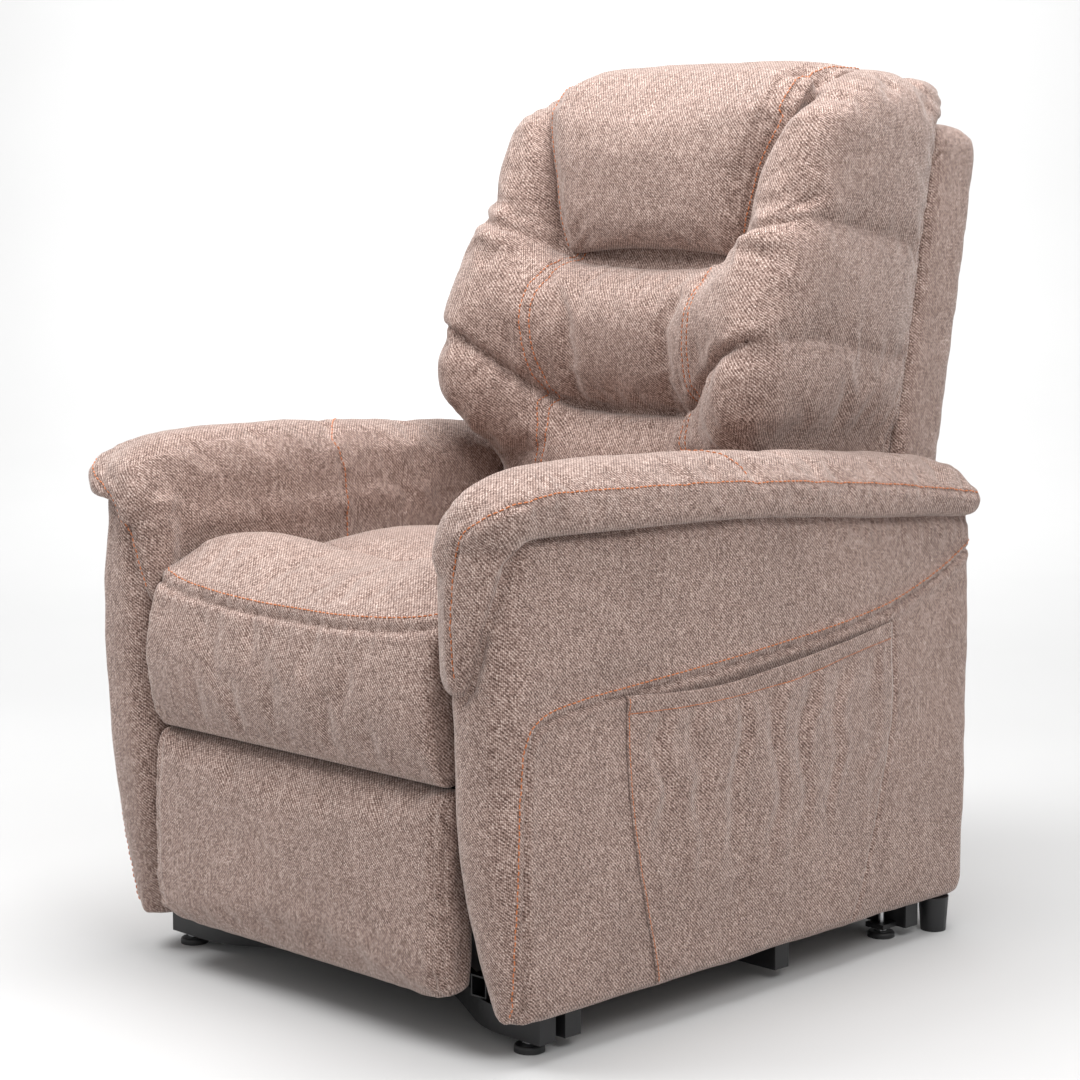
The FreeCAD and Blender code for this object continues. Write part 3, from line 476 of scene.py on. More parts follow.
def fabric_material():
    """Chenille woven from mottled light and dark yarns, with a twill slant, fuzzy pile, painted shade in the
    grooves between yarns and cloudy shading.
    """
    s = Shader("chenille", Roughness=0.93)
    s.shader.inputs["Specular IOR Level"].default_value = 0.2
    s.shader.inputs["Sheen Weight"].default_value = 0.45
    s.shader.inputs["Sheen Roughness"].default_value = 0.4
    s.shader.inputs["Sheen Tint"].default_value = (1.0, 0.93, 0.89, 1)
    where = s.node("TexCoord")
    place = where.outputs["Object"]
    x, y, z = s.node("SeparateXYZ", {0: place}).outputs
    facing = s.node("SeparateXYZ", {0: where.outputs["Normal"]}).outputs
    fx, fy, fz = (s.calc("ABSOLUTE", axis) for axis in facing)
    side_on = s.calc("GREATER_THAN", fx, s.calc("MAXIMUM", fy, fz))
    top_on = s.calc("GREATER_THAN", fz, s.calc("MAXIMUM", fx, fy))
    u = s.calc("MULTIPLY_ADD", side_on, s.calc("SUBTRACT", y, x), x)
    v = s.calc("MULTIPLY_ADD", top_on, s.calc("SUBTRACT", y, z), z)
    drift = s.spread(s.noise(place, 17.0, 1.0), 0, 1, -0.004, 0.004)
    u = s.calc("DIVIDE", s.calc("ADD", u, drift), WEAVE_PITCH * MM)
    v = s.calc("DIVIDE", s.calc("SUBTRACT", v, drift), WEAVE_PITCH * MM)
    column, row = s.calc("FLOOR", u), s.calc("FLOOR", v)
    face = s.calc("MULTIPLY_ADD", top_on, 7.0, side_on)
    cell = s.node("CombineXYZ", {0: column, 1: row, 2: face}).outputs[0]
    tuft = s.node("TexWhiteNoise", {"Vector": cell}, noise_dimensions="3D").outputs["Value"]
    fourth = s.calc("FLOOR", s.calc("DIVIDE", row, 4.0))
    dyed = s.node("CombineXYZ", {0: column, 1: fourth, 2: 3.0}).outputs[0]
    yarn = s.node("TexWhiteNoise", {"Vector": dyed}, noise_dimensions="3D").outputs["Value"]
    slant = s.calc("COSINE", s.calc("MULTIPLY", s.calc("ADD", u, v), 2 * math.pi / SLANT_PERIOD))
    slant = s.calc("MULTIPLY_ADD", slant, 0.5, 0.5)
    rise = s.calc("ABSOLUTE", s.calc("MULTIPLY", s.calc("SINE", s.calc("MULTIPLY", u, math.pi)),
                                     s.calc("SINE", s.calc("MULTIPLY", v, math.pi))))
    fuzz = s.noise(place, 900.0, 2.0, 0.7)
    tone_and_groove_shade = s.calc("ADD", s.calc("MULTIPLY", tuft, 0.32), s.calc("MULTIPLY", yarn, 0.12))
    tone_and_groove_shade = s.calc("ADD", tone_and_groove_shade, s.calc("MULTIPLY", fuzz, 0.22))
    tone_and_groove_shade = s.calc("SUBTRACT", tone_and_groove_shade, s.calc("MULTIPLY", slant, 0.27))
    # Painted shade: the colour is lighter on the raised yarn tops and darker in the grooves between yarns,
    # from the same rise field as the bump.
    tone_and_groove_shade = s.calc("ADD", tone_and_groove_shade, s.calc("MULTIPLY", rise, 0.30))
    colour = s.ramp(tone_and_groove_shade, [(0.06, (0.075, 0.041, 0.032)), (0.28, (0.265, 0.176, 0.147)),
                                 (0.50, (0.470, 0.345, 0.299)), (0.75, (0.82, 0.69, 0.62))])
    cloud = s.spread(s.noise(place, 9.0, 2.0, 0.5), 0.3, 0.7, 0.94, 1.05)
    brushed = s.spread(s.noise(place, 40.0, 2.0, 0.5), 0.3, 0.7, 0.975, 1.02)
    shade = s.calc("MULTIPLY", cloud, brushed)
    both = s.node("CombineColor", {0: shade, 1: shade, 2: shade}).outputs[0]
    colour = s.mix(1.0, colour, both, "MULTIPLY")
    height = s.calc("ADD", s.calc("MULTIPLY", rise, 0.6), s.calc("MULTIPLY", fuzz, 0.5))
    height = s.calc("ADD", height, s.calc("MULTIPLY", tuft, 0.25))
    return s.finish(colour=colour, height=height, strength=0.55, distance=0.0008)


def thread_material():
    s = Shader("copper_thread", Roughness=0.55)
    s.shader.inputs["Sheen Weight"].default_value = 0.3
    place = s.node("TexCoord").outputs["Object"]
    turn = s.node("TexWave", {"Vector": place, "Scale": 420.0, "Distortion": 2.0, "Detail": 1.0},
                  bands_direction="DIAGONAL").outputs["Fac"]
    # Painted shade: the thread is darker in the low bands of its twist, the same waves as its bump.
    colour = s.mix(turn, (0.34, 0.085, 0.018, 1), (0.72, 0.215, 0.048, 1))
    return s.finish(colour=colour, height=turn, strength=0.5, distance=0.0003)


def metal_material(name, colour, metallic, roughness, grain=0.15):
    """Powder-coated or plated steel with a fine skin, slight wear and uneven gloss."""
    s = Shader(name, Metallic=metallic)
    place = s.node("TexCoord").outputs["Object"]
    skin = s.noise(place, 900.0, 2.0)
    smear = s.noise(place, 24.0, 4.0, 0.6)
    tint = s.spread(smear, 0.3, 0.7, 0.82, 1.22)
    shade = s.node("CombineColor", {0: tint, 1: tint, 2: tint}).outputs[0]
    return s.finish(colour=s.mix(1.0, (*colour, 1), shade, "MULTIPLY"),
                    roughness=s.spread(smear, 0.3, 0.7, roughness - 0.07, roughness + 0.10),
                    height=skin, strength=grain, distance=0.0003)


def plastic_material():
    s = Shader("moulded_plastic")
    place = s.node("TexCoord").outputs["Object"]
    grain = s.node("TexVoronoi", {"Vector": place, "Scale": 1300.0}).outputs["Distance"]
    smear = s.noise(place, 35.0, 3.0)
    colour = s.mix(smear, (0.009, 0.009, 0.010, 1), (0.021, 0.021, 0.022, 1))
    gloss = s.spread(smear, 0.3, 0.7, 0.38, 0.55)
    return s.finish(colour=colour, roughness=gloss, height=grain, strength=0.25, distance=0.0002)


def timber_material():
    s = Shader("plywood")
    place = s.node("TexCoord").outputs["Object"]
    stretched = s.node("Mapping", {"Vector": place, "Scale": (3.0, 14.0, 40.0)}).outputs["Vector"]
    grain = s.noise(stretched, 6.0, 6.0, 0.6)
    pores = s.noise(stretched, 60.0, 2.0)
    colour = s.ramp(grain, [(0.3, (0.36, 0.22, 0.11)), (0.5, (0.55, 0.38, 0.22)), (0.7, (0.66, 0.49, 0.31))])
    gloss = s.spread(pores, 0.3, 0.7, 0.55, 0.75)
    return s.finish(colour=colour, roughness=gloss, height=pores, strength=0.3, distance=0.0004)


fabric = fabric_material()
thread = thread_material()
finishes = {
    "woven_fabric": fabric,
    "black_steel": metal_material("black_powder_coat", (0.012, 0.012, 0.013), 0.0, 0.40, 0.3),
    "zinc_steel": metal_material("zinc_plate", (0.60, 0.61, 0.62), 1.0, 0.34),
    "black_plastic": plastic_material(),
    "timber": timber_material(),
}
for entry in frame["record"]["subparts"]:
    nodes[entry["node"]].data.materials.clear()
    nodes[entry["node"]].data.materials.append(finishes[entry["material_slot"]])


# ---------------------------------------------------------------- seat cushion

SEAT_HALF = 259


def seat_piece():
    """The seat: a boxed front with a puffed front edge, a dip in its middle and a tucked channel behind."""
    outline = softened([(-424, 299), (-452, 299), (-469, 330), (-475, 392), (-470, 440), (-458, 480),
                        (-436, 494), (-400, 505), (-345, 509), (-285, 503), (-240, 497), (-140, 501),
                        (0, 492), (92, 486), (92, 384), (-400, 384)], 9, 150)
    obj = remeshed(slab("seat_base", outline, SEAT_HALF, 16), 9)
    seam = spline([(-262, 497), (-200, 485), (-100, 477), (0, 475), (100, 477), (200, 485), (262, 497)])

    def held(p):
        """Sewn down along the front seam, the channel across the seat, its lower edges and its back."""
        front = bump(gap_to(p[:, [0, 2]], seam)[0], 0, 9) * (p[:, 1] < -400)
        channel = bump(p[:, 1], -243, 12) * (p[:, 2] > 470)
        low = step_up(330, 300, p[:, 2])
        sides = 0.6 * step_up(244, 256, np.abs(p[:, 0]))
        back = step_up(40, 80, p[:, 1])
        return np.maximum.reduce([front, channel, low, sides, back])

    obj = subdivided(inflated(obj, 24, held, 5.0))
    p, n = points_of(obj), normals_of(obj)
    top = step_up(0.2, 0.7, n[:, 2]) * (p[:, 2] > 440)
    side = np.abs(p[:, 0])
    lobes = 20 * bump(side, 165, 95) - 4 * bump(p[:, 0], -10, 60) + 6 * bump(side, 250, 30)
    p[:, 2] += top * lobes * bump(p[:, 1], -360, 72)
    p[:, 2] += top * (9 * bump(p[:, 1], -110, 110) * bump(side, 120, 130) - 6 * bump(p[:, 1], -243, 26))
    drag = np.sin(p[:, 1] / 8.0 + p[:, 0] / 34.0 + 1.5 * ripple(p, 60, 3.1))
    p[:, 2] += top * 1.5 * drag * bump(p[:, 1], -385, 50) * bump(side, 60, 120)
    uneven = 2.0 * ripple(p, 70, 1.7) + 1.0 * ripple(p, 26, 5.2)
    p += n * uneven[:, None] * step_up(300, 330, p[:, 2])[:, None]
    set_points(obj, p)
    p, n = points_of(obj), normals_of(obj)
    front = (p[:, 1] < -415).astype(float)
    lower = seam + np.array([0, -13])
    p = sewn(p, n, p[:, [0, 2]], lower, front, 4.5, 3.2, 0.3, 1.4)
    corner = np.array([(-256, 300), (-257, 400), (-256, 482)])
    for sign in (1, -1):
        p = sewn(p, n, p[:, [0, 2]], corner * (sign, 1), front, 4.0, 3.0, 0.2, 1.2)
    covered(obj, "seat_pad", p)
    path = [(x, -520, z) for x, z in seam if abs(x) < 253]
    stitching("seat_front_stitching", [dropped(obj, path, (0, 1, 0))], "chassis")
    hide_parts("seat_cushion")
    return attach(obj, "chassis")


seat_piece()

# ---------------------------------------------------------------- footrest


def footrest_piece():
    """The footrest: a thick flat pad with rounded corners, a crowned face and a sewn edge at each side."""
    outline = softened([(-413, 61), (-428, 58), (-445, 58), (-456, 70), (-459, 112), (-459, 255), (-455, 288),
                        (-443, 299), (-424, 298), (-413, 288)], 4, 90)

    def shape(ring):
        """Pulls the lower corners in, as the sewn cover does."""
        out = ring.copy()
        edge = step_up(185, 262, np.abs(ring[:, 0]))
        out[:, 2] += edge**3 * 13 * step_up(130, 55, ring[:, 2])
        out[:, 0] *= 1 - 0.012 * step_up(120, 58, ring[:, 2])
        return out

    obj = remeshed(slab("footrest_base", outline, 262, 10, 24, shape), 7)

    def held(p):
        return np.maximum(step_up(-440, -432, p[:, 1]), 0.5 * step_up(245, 256, np.abs(p[:, 0])))

    obj = subdivided(inflated(obj, 7, held, 4.0))
    p, n = points_of(obj), normals_of(obj)
    front = step_up(-436, -446, p[:, 1])
    p += n * (front * (1.6 * ripple(p, 85, 8.3) + 0.9 * ripple(p, 30, 2.2)))[:, None]
    p[:, 1] -= front * 3.0 * bump(p[:, 0], 0, 200) * bump(p[:, 2], 180, 90)
    for sign in (1, -1):
        for inset, deep in ((0, 3.4), (11, 1.8)):
            line = np.array([(257 - inset, 297), (257 - inset, 170), (253 - inset, 60)]) * (sign, 1)
            p = sewn(p, n, p[:, [0, 2]], line, front, deep, 2.6, 0.25, 1.0)
    covered(obj, "footrest_cushion", p)
    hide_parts("footrest_pad")
    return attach(obj, "footrest")


footrest_piece()

# ---------------------------------------------------------------- backrest

SHELL_LOW, SHELL_REAR, LEAN = 300, 373.4, 0.2
SHELL_HALF, SHELL_THICK = 261, 93


def rear_line(z):
    """Where the reclined rear face is at a height."""
    return SHELL_REAR + LEAN * (z - SHELL_LOW)


def shell_piece():
    """The upholstered box behind the cushion, with a softened top and seams along its rear edges."""
    outline = softened([(rear_line(302) - SHELL_THICK, 302), (rear_line(302), 302), (rear_line(660) + 4, 660),
                        (rear_line(1000) + 3, 1000), (rear_line(1024), 1024), (rear_line(1042) - 22, 1043),
                        (rear_line(1042) - SHELL_THICK, 1043), (rear_line(660) - SHELL_THICK, 660)], 7, 150)

    def shape(ring):
        """Rounds the two top corners."""
        out = ring.copy()
        share = np.clip(np.abs(ring[:, 0]) - 219, 0, None) / 40
        out[:, 2] -= 15 * share**2 * step_up(960, 1040, ring[:, 2])
        return out

    obj = subdivided(remeshed(slab("shell_base", outline, SHELL_HALF, 11, 30, shape), 11))
    p, n = points_of(obj), normals_of(obj)
    rear = step_up(0.3, 0.8, n[:, 1])
    crown = bump(p[:, 0], 0, 190) * bump(p[:, 2], 660, 300)
    p += n * (rear * (5 * crown - 2) + 1.2 * ripple(p, 90, 4.4) + 0.6 * ripple(p, 30, 9.1))[:, None]
    flat = p[:, [0, 2]]
    for sign in (1, -1):
        line = np.array([(247, 302), (247, 700), (246, 1016)]) * (sign, 1)
        p = sewn(p, n, flat, line, rear, 3.0, 3.0, 0.2, 1.0)
    p = sewn(p, n, flat, np.array([(-246, 1012), (246, 1012)]), rear, 3.0, 3.0, 0.2, 1.0)
    covered(obj, "back_cover", p)
    runs = [dropped(obj, [(239 * sign, 620, z) for z in range(310, 1004, 8)], (0, -1, 0)) for sign in (1, -1)]
    runs.append(dropped(obj, [(x, 700, 1004) for x in range(-236, 237, 8)], (0, -1, 0)))
    stitching("back_cover_stitching", runs, "backrest")
    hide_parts("back_shell")
    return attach(obj, "backrest")


shell_piece()

ROW_TWO = [(0, 858), (90, 860), (140, 868), (172, 884), (205, 903), (240, 913), (268, 918), (300, 918)]
ROW_THREE = [(0, 668), (60, 669), (102, 673), (146, 693), (180, 722), (215, 748), (246, 765), (272, 772),
             (300, 772)]
DOUBLE_STITCH = [(136, 872), (141, 838), (142, 784), (137, 731), (131, 690), (128, 666), (124, 640),
                 (134, 600), (146, 560), (150, 520)]
MIDDLE = curve([400, 480, 560, 610, 640, 656, 668, 682, 705, 731,
                784, 815, 838, 858, 880, 920, 990, 1040, 1080, 1100],
               [110, 106, 98, 89, 88, 104, 138, 120, 101, 90,
                84, 91, 110, 162, 190, 196, 203, 215, 236, 258])
WING = curve([400, 560, 600, 625, 645, 673, 709, 748, 802, 856, 925, 975, 1031, 1067, 1093, 1100],
             [118, 118, 104, 74, 40, 20, 12, 17, 32, 55, 83, 104, 131, 150, 180, 195])
WING_OUT = curve([400, 600, 650, 662, 682, 714, 748, 802, 856, 925, 975, 1031, 1067, 1100],
                 [250, 252, 255, 262, 278, 285, 287, 286, 283, 279, 277, 275, 271, 258])
PILLOW_END = curve([862, 880, 957, 988, 1053, 1114], [162, 165, 182, 190, 215, 219])


def cushion_front(x, z):
    """How far forward the back cushion's face is: a middle with a lumbar roll, and forward wings."""
    side = np.abs(x)
    row_two, row_three = np.interp(side, *np.array(ROW_TWO).T), np.interp(side, *np.array(ROW_THREE).T)
    even = np.where(z < row_three, 400 + (z - 400) * 268 / (row_three - 400),
                    np.where(z < row_two, 668 + (z - row_three) * 190 / (row_two - row_three),
                             858 + (z - row_two) * 242 / (1100 - row_two)))
    start = np.where(z > 870, PILLOW_END(z) - 6, 84 + 74 * step_up(790, 870, z))
    share = np.clip((side - start) / (250 + 12 * step_up(850, 890, z) - start), 0, 1)
    wing = 0.6 * step_up(0, 1, share) + 0.4 * share
    rows = 14 * bump(even, 668, 11) + 10 * bump(even, 858, 10)
    shoulder = 44 * step_up(0, 18, side - start) * (1 - wing) * step_up(872, 905, z) * step_up(1085, 1045, z)
    return (1 - wing) * MIDDLE(even) + wing * (WING(z) + rows) - shoulder


def cushion_ring(z):
    """A level slice of the back cushion."""
    out, corner = float(WING_OUT(z)), 24 + 24 * float(step_up(640, 700, z))
    rounded = max(z - 1040, 0) / 60 * math.pi / 2
    rear = rear_line(min(z, 1040)) - (SHELL_THICK + 3) + 34 * math.sin(rounded)
    x = np.linspace(0, out - corner, 40)
    front = [(a, float(b)) for a, b in zip(x, cushion_front(x, np.full(40, float(z))))]
    edge = front[-1][1]
    turn = [(out - corner + corner * math.sin(a), edge + corner - corner * math.cos(a))
            for a in np.radians(np.linspace(12, 90, 8))]
    back_out = SHELL_HALF - 32 * (1 - math.cos(rounded))
    flank = [(out + (min(back_out, out) - out) * t**2, edge + corner + (rear - edge - corner) * t)
             for t in np.linspace(0, 1, 10)[1:]]
    half = front + turn + flank
    return np.array([(a, b, z) for a, b in half] + [(-a, b, z) for a, b in half[::-1]])


def cushion_piece():
    """The back cushion: forward wings, a lumbar roll between curved seams, a low panel between the arms."""
    steps = [(401, 10), (404, 4), (409, 1)] + [(z, 0) for z in np.linspace(416, 1078, 100)]
    steps += [(1085, 1), (1091, 4), (1096, 10), (1099, 19), (1101, 36)]
    rings = inset_rings(cushion_ring, steps, [0, 1])
    obj = evened(remeshed(loft("cushion_base", rings), 8), 6)

    def rows_of(p):
        """Each point's distance from the two curved seams, which drop a little along the sides."""
        side = np.abs(p[:, 0])
        found = []
        for row, start in ((ROW_TWO, 170), (ROW_THREE, 145)):
            line = np.array(spline(row, 80))
            drop = 0.17 * np.clip(p[:, 1] - start, 0, None) * step_up(240, 262, side)
            level = np.interp(side, *line.T) - drop
            steep = np.interp(side, line[:, 0], np.gradient(line[:, 1], line[:, 0]))
            found.append((p[:, 2] - level) / np.sqrt(1 + steep**2))
        return found

    def held(p):
        two, three = rows_of(p)
        rear = p[:, 1] - rear_line(np.minimum(p[:, 2], 1038))
        low = step_up(665, 640, p[:, 2]) * step_up(240, 255, np.abs(p[:, 0]))
        free = 1 - 0.7 * step_up(225, 265, np.abs(p[:, 0]))
        return np.maximum.reduce([bump(two, 0, 9) * free, bump(three, 0, 9) * free,
                                  step_up(-108, -99, rear), low, step_up(440, 410, p[:, 2])])

    obj = subdivided(inflated(obj, 16, held, 4.0, 0.03))
    p, n = points_of(obj), normals_of(obj)
    front = step_up(0.5, 0.0, n[:, 1])
    flat = p[:, [0, 2]]
    side = np.abs(p[:, 0])
    on_side = step_up(0.55, 0.85, np.abs(n[:, 0]))
    place = p[:, 0] + 0.8 * p[:, 1]
    for gap in rows_of(p):
        crease = np.sin(place / 6.0 + 2.6 * ripple(p, 42, 6.6)) * bump(gap, 10 * np.sign(gap), 15)
        p += n * (front * (0.25 + 0.9 * bump(side, 150, 60)) * crease)[:, None]
        p = pressed(p, n, np.abs(gap), place, front * (1 - 0.62 * on_side), 6.5, 4.0, 0.15, 2.0)
    tuck = bump(side, 222, 30) * bump(p[:, 2], 640, 34)
    p += n * (front * tuck * 3.6 * np.sin((p[:, 2] * 0.7 + side) / 7.5))[:, None]
    top = bump(side, 246, 22) * bump(p[:, 2], 1072, 30)
    p += n * (top * 1.2 * np.sin((p[:, 2] + 0.8 * p[:, 1]) / 5.0))[:, None]
    p += n * (front * (2.0 * ripple(p, 80, 2.9) + 1.2 * ripple(p, 30, 7.3)))[:, None]
    facing = step_up(0.15, -0.25, n[:, 1])
    for sign in (1, -1):
        for shift in (-6.5, 6.5):
            line = spline(DOUBLE_STITCH, 60) * (sign, 1) + (shift, 0)
            p = sewn(p, n, flat, line, facing, 1.5, 2.0, 0.3, 0.5)
    edge = spline([(290, 420), (312, 540), (337, 650), (356, 740), (379, 850), (404, 950), (420, 1018),
                   (426, 1046)])
    across = (np.abs(n[:, 0]) > 0.45).astype(float)
    p = sewn(p, n, p[:, [1, 2]], edge, across, 4.0, 3.0, 0.2, 2.0)
    covered(obj, "back_pad", p)
    runs = []
    for sign in (1, -1):
        for shift in (-6.5, 6.5):
            line = spline(DOUBLE_STITCH, 110) * (sign, 1) + (shift, 0)
            runs.append(dropped(obj, [(x, -200, z) for x, z in line], (0, 1, 0)))
    stitching("back_stitching", runs, "backrest")
    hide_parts("back_cushion")
    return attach(obj, "backrest")


cushion_piece()


def pillow_piece():
    """The head pillow: a fat roll over the top of the back, sewn flat at both ends."""
    outline = softened([(166, 868), (150, 872), (138, 912), (144, 1000), (162, 1062), (198, 1100),
                        (258, 1114), (338, 1111), (350, 1104), (300, 1100), (252, 1090), (226, 1062),
                        (208, 1010), (197, 950), (178, 873)], 6, 130)

    def shape(ring):
        """Widens the roll towards the top and thins it a little towards its ends."""
        out = ring.copy()
        share = step_up(138, 177, np.abs(ring[:, 0]))
        inner = np.interp(ring[:, 2], [868, 950, 1010, 1062, 1090, 1104], [196, 204, 214, 232, 256, 320])
        lift = np.interp(ring[:, 1], [196, 232, 256, 320, 350], [873, 1066, 1092, 1101, 1104])
        out[:, 1] += np.clip(inner - ring[:, 1], 0, None) * 0.34 * share
        out[:, 2] -= np.clip(ring[:, 2] - lift, 0, None) * 0.25 * share * (ring[:, 1] > 200)
        out[:, 0] *= PILLOW_END(ring[:, 2]) / 177
        return out

    obj = remeshed(slab("pillow_base", outline, 176, 9, 26, shape), 6)

    def held(p):
        return 0.8 * step_up(0.84, 0.9, np.abs(p[:, 0]) / PILLOW_END(p[:, 2]))

    obj = subdivided(inflated(obj, 9, held, 3.0))
    p, n = points_of(obj), normals_of(obj)
    outer = step_up(0.2, -0.2, n[:, 1] - 0.9 * n[:, 2])
    p += n * (outer * (1.3 * ripple(p, 60, 5.7) + 0.7 * ripple(p, 24, 1.1)))[:, None]
    from_end = PILLOW_END(p[:, 2]) - np.abs(p[:, 0])
    for inset, deep in ((8, 1.6), (14, 2.4)):
        p = pressed(p, n, np.abs(from_end - inset), p[:, 2] + p[:, 1], outer, deep, 2.3, 0.25, 1.0)
    covered(obj, "head_roll", p)
    runs = []
    for sign in (1, -1):
        path = [(float(PILLOW_END(z) - 11) * sign, 100, z) for z in range(878, 1050, 7)]
        over = spline([(203 * sign, 168, 1056), (206 * sign, 210, 1110), (206 * sign, 262, 1124),
                       (206 * sign, 336, 1120)], 34)
        runs.append(dropped(obj, path, (0, 1, 0)) + snapped(obj, over))
    stitching("head_roll_stitching", runs, "backrest")
    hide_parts("head_pillow")
    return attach(obj, "backrest")


pillow_piece()

# ---------------------------------------------------------------- arms

ARM_FRONT = curve([49, 125, 217, 320, 421, 496, 590], [-430, -445, -462, -470, -473, -473, -466])
ARM_INNER = curve([49, 90, 124, 180, 233, 332, 590], [288, 280, 273, 268, 266, 266, 268])
ARM_OUTER = curve([49, 80, 160, 300, 440, 540, 590], [350, 355, 358, 361, 361, 357, 352])
ARM_REAR, BULLNOSE, INNER_ROUND = 373, 40, 36
TOP_SEAM = [(378, 516), (300, 481), (210, 452), (120, 437), (31, 427), (-142, 414), (-275, 406), (-351, 401),
            (-408, 391), (-434, 368), (-441, 317), (-441, 214), (-436, 126), (-428, 54)]

PAD_CREST = curve([-492, -486, -472, -446, -410, -360, -300, -170, 0, 190, 300, 360, 377],
                  [575, 596, 617, 636, 646, 650, 651, 648, 641, 627, 616, 606, 592])
BAND_TOP = curve([-492, -470, -445, -411, -373, -301, -120, 120, 362, 377],
                 [590, 612, 626, 631, 633, 631, 624, 604, 574, 570])
BAND_LOW = curve([-492, -407, -330, -219, -62, 142, 365, 377], [578, 584, 583, 581, 577, 560, 543, 542])
LAPEL = {"left": curve([408, 418, 426, 457, 504, 531, 564, 578], [298, 309, 314, 326, 339, 344, 350, 354]),
         "right": curve([436, 446, 457, 494, 532, 552, 567, 578], [263, 268, 272, 279, 286, 290, 298, 316])}
LAPEL_LOW = {"left": 410, "right": 438}
FRONT_SEAM = {"left": [(364, 621), (340, 607), (319, 590), (309, 566), (304, 539), (302, 500), (302, 460),
                       (305, 430)],
              "right": [(366, 622), (344, 607), (318, 592), (298, 576), (289, 556), (281, 530), (274, 494),
                        (268, 462)]}
POUCH_MOUTH = [(-279, 396), (-200, 391), (-121, 390), (-6, 400), (110, 413), (200, 424)]
POUCH_FRONT = [(-279, 396), (-274, 303), (-258, 214), (-237, 134), (-216, 56)]
POUCH_REAR = [(200, 424), (202, 311), (182, 207), (158, 127), (136, 62)]
POUCH_HEM = [(-275, 375), (-176, 372), (-64, 374), (30, 381), (115, 394), (199, 404)]


def pad_edge(side, sign):
    """The line where the arm's body disappears below its pad and behind the lapel in front."""
    line = []
    for y in np.linspace(370, -432, 60):
        z = float(BAND_LOW(y)) - 4
        line.append((float(ARM_OUTER(z)), y, z))
    for z in np.linspace(576, LAPEL_LOW[side], 50):
        corner = float(ARM_OUTER(z)) - BULLNOSE
        x = min(float(LAPEL[side](z)) + 3, corner + (BULLNOSE - 2))
        y = float(ARM_FRONT(z)) + BULLNOSE - math.sqrt(BULLNOSE**2 - max(x - corner, 0) ** 2)
        line.append((x, y, z))
    return spline([(x * sign, y, z) for x, y, z in line], 240)


def arm_ring(z, sign):
    """A level slice of the arm: a rounded bar, bullnosed in front."""
    low, high, front = ARM_INNER(z), ARM_OUTER(z), ARM_FRONT(z)
    corners = ((high, front, BULLNOSE), (high, ARM_REAR, 14), (low, ARM_REAR, 10), (low, front, INNER_ROUND))
    out = []
    for (x, y, r), start in zip(corners, (-90, 0, 90, 180)):
        cx = x - r if x == high else x + r
        cy = y + r if y == front else y - r
        for a in np.radians(np.linspace(start, start + 90, 10)):
            out.append((cx + r * math.cos(a), cy + r * math.sin(a)))
    ring = resample(out + out[:1], 161)[:-1]
    return np.column_stack([ring[:, 0] * sign, ring[:, 1], np.full(len(ring), z)])


def arm_piece(side, sign):
    """An arm's body, with its curved top seam, the tucked front fold and the plain lower panel."""
    steps = [(49, 10), (51, 4.5), (56, 1), (62, 0)] + [(z, 0) for z in np.linspace(75, 540, 40)]
    rings = inset_rings(lambda z: arm_ring(z, sign), steps, [0, 1])
    for share in (0.5, 1.0):
        ring = arm_ring(560, sign)
        ring[:, 2] = 540 + (np.interp(ring[:, 1], [-485, -88, 376], [585, 584, 552]) - 540) * share
        rings.append(ring)
    obj = subdivided(remeshed(loft("arm_base_" + side, rings), 8))
    p, n = points_of(obj), normals_of(obj)
    outer = step_up(0.1, 0.5, n[:, 0] * sign)
    shown = step_up(0.0, 0.35, n[:, 0] * sign - 0.35 * n[:, 1])
    seam = spline(TOP_SEAM, 90)
    flat = p[:, [1, 2]]
    gap, _, way = gap_to(flat, seam)
    above = np.where(way > 0, 0, 1)
    p += n * (outer * (3.0 * above * step_up(0, 45, gap) - 1.2 * (1 - above) * step_up(0, 30, gap)))[:, None]
    p += n * (1.6 * ripple(p, 95, 3.3 + sign) + 0.9 * ripple(p, 33, 6.1 + sign))[:, None]
    p = sewn(p, n, flat, seam - inward_of_seam(seam) * 9, shown, 4.6, 2.6, 0.3, 1.6)
    p = sewn(p, n, flat, spline(POUCH_REAR, 60) + (4, 0), shown, 4.0, 2.6, 0.1, 0.8)
    p = sewn(p, n, p, pad_edge(side, sign), np.ones(len(p)), 7.0, 6.0, 0.2, 1.0)
    covered(obj, "arm_body_" + side, p)
    path = [(460 * sign, y, z) for y, z in spline(TOP_SEAM, 220) if z > 56 and y < 374]
    stitching("arm_seam_stitching_" + side, [dropped(obj, path, (-sign, 0, 0))], "chassis")
    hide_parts("arm_outer_panel_" + side)
    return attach(obj, "chassis")


arms = {side: arm_piece(side, sign) for side, sign in SIDES}


def pad_ring(y, sign):
    """An upright slice across an arm pad: its crowned top and its outer band."""
    crest, band, low = float(PAD_CREST(y)), float(BAND_TOP(y)), float(BAND_LOW(y))
    turned = 40 - math.sqrt(max(1600 - max(-448 - y, 0) ** 2, 0))
    tucked = 18 - math.sqrt(max(324 - min(max(-471 - y, 0), 18) ** 2, 0))
    points = [(262, 570), (261, crest - 46), (264, crest - 25), (275, crest - 9), (294, crest),
              (317, crest + 1), (342, crest - 4), (363, band + 7), (373, band), (376, band - 12),
              (376, low + 14), (372, low + 2), (360, low - 3), (330, low - 3), (300, low - 4), (280, low - 6),
              (270, 562)]
    ring = resample(points + points[:1], 121)[:-1]
    for _ in range(4):
        ring = (np.roll(ring, 1, 0) + 2 * ring + np.roll(ring, -1, 0)) / 4
    x = ring[:, 0]
    x = x - turned * np.clip((x - 300) / 76, 0, 1) + tucked * np.clip((300 - x) / 38, 0, 1)
    return np.column_stack([x * sign, np.full(len(ring), y), ring[:, 1]])


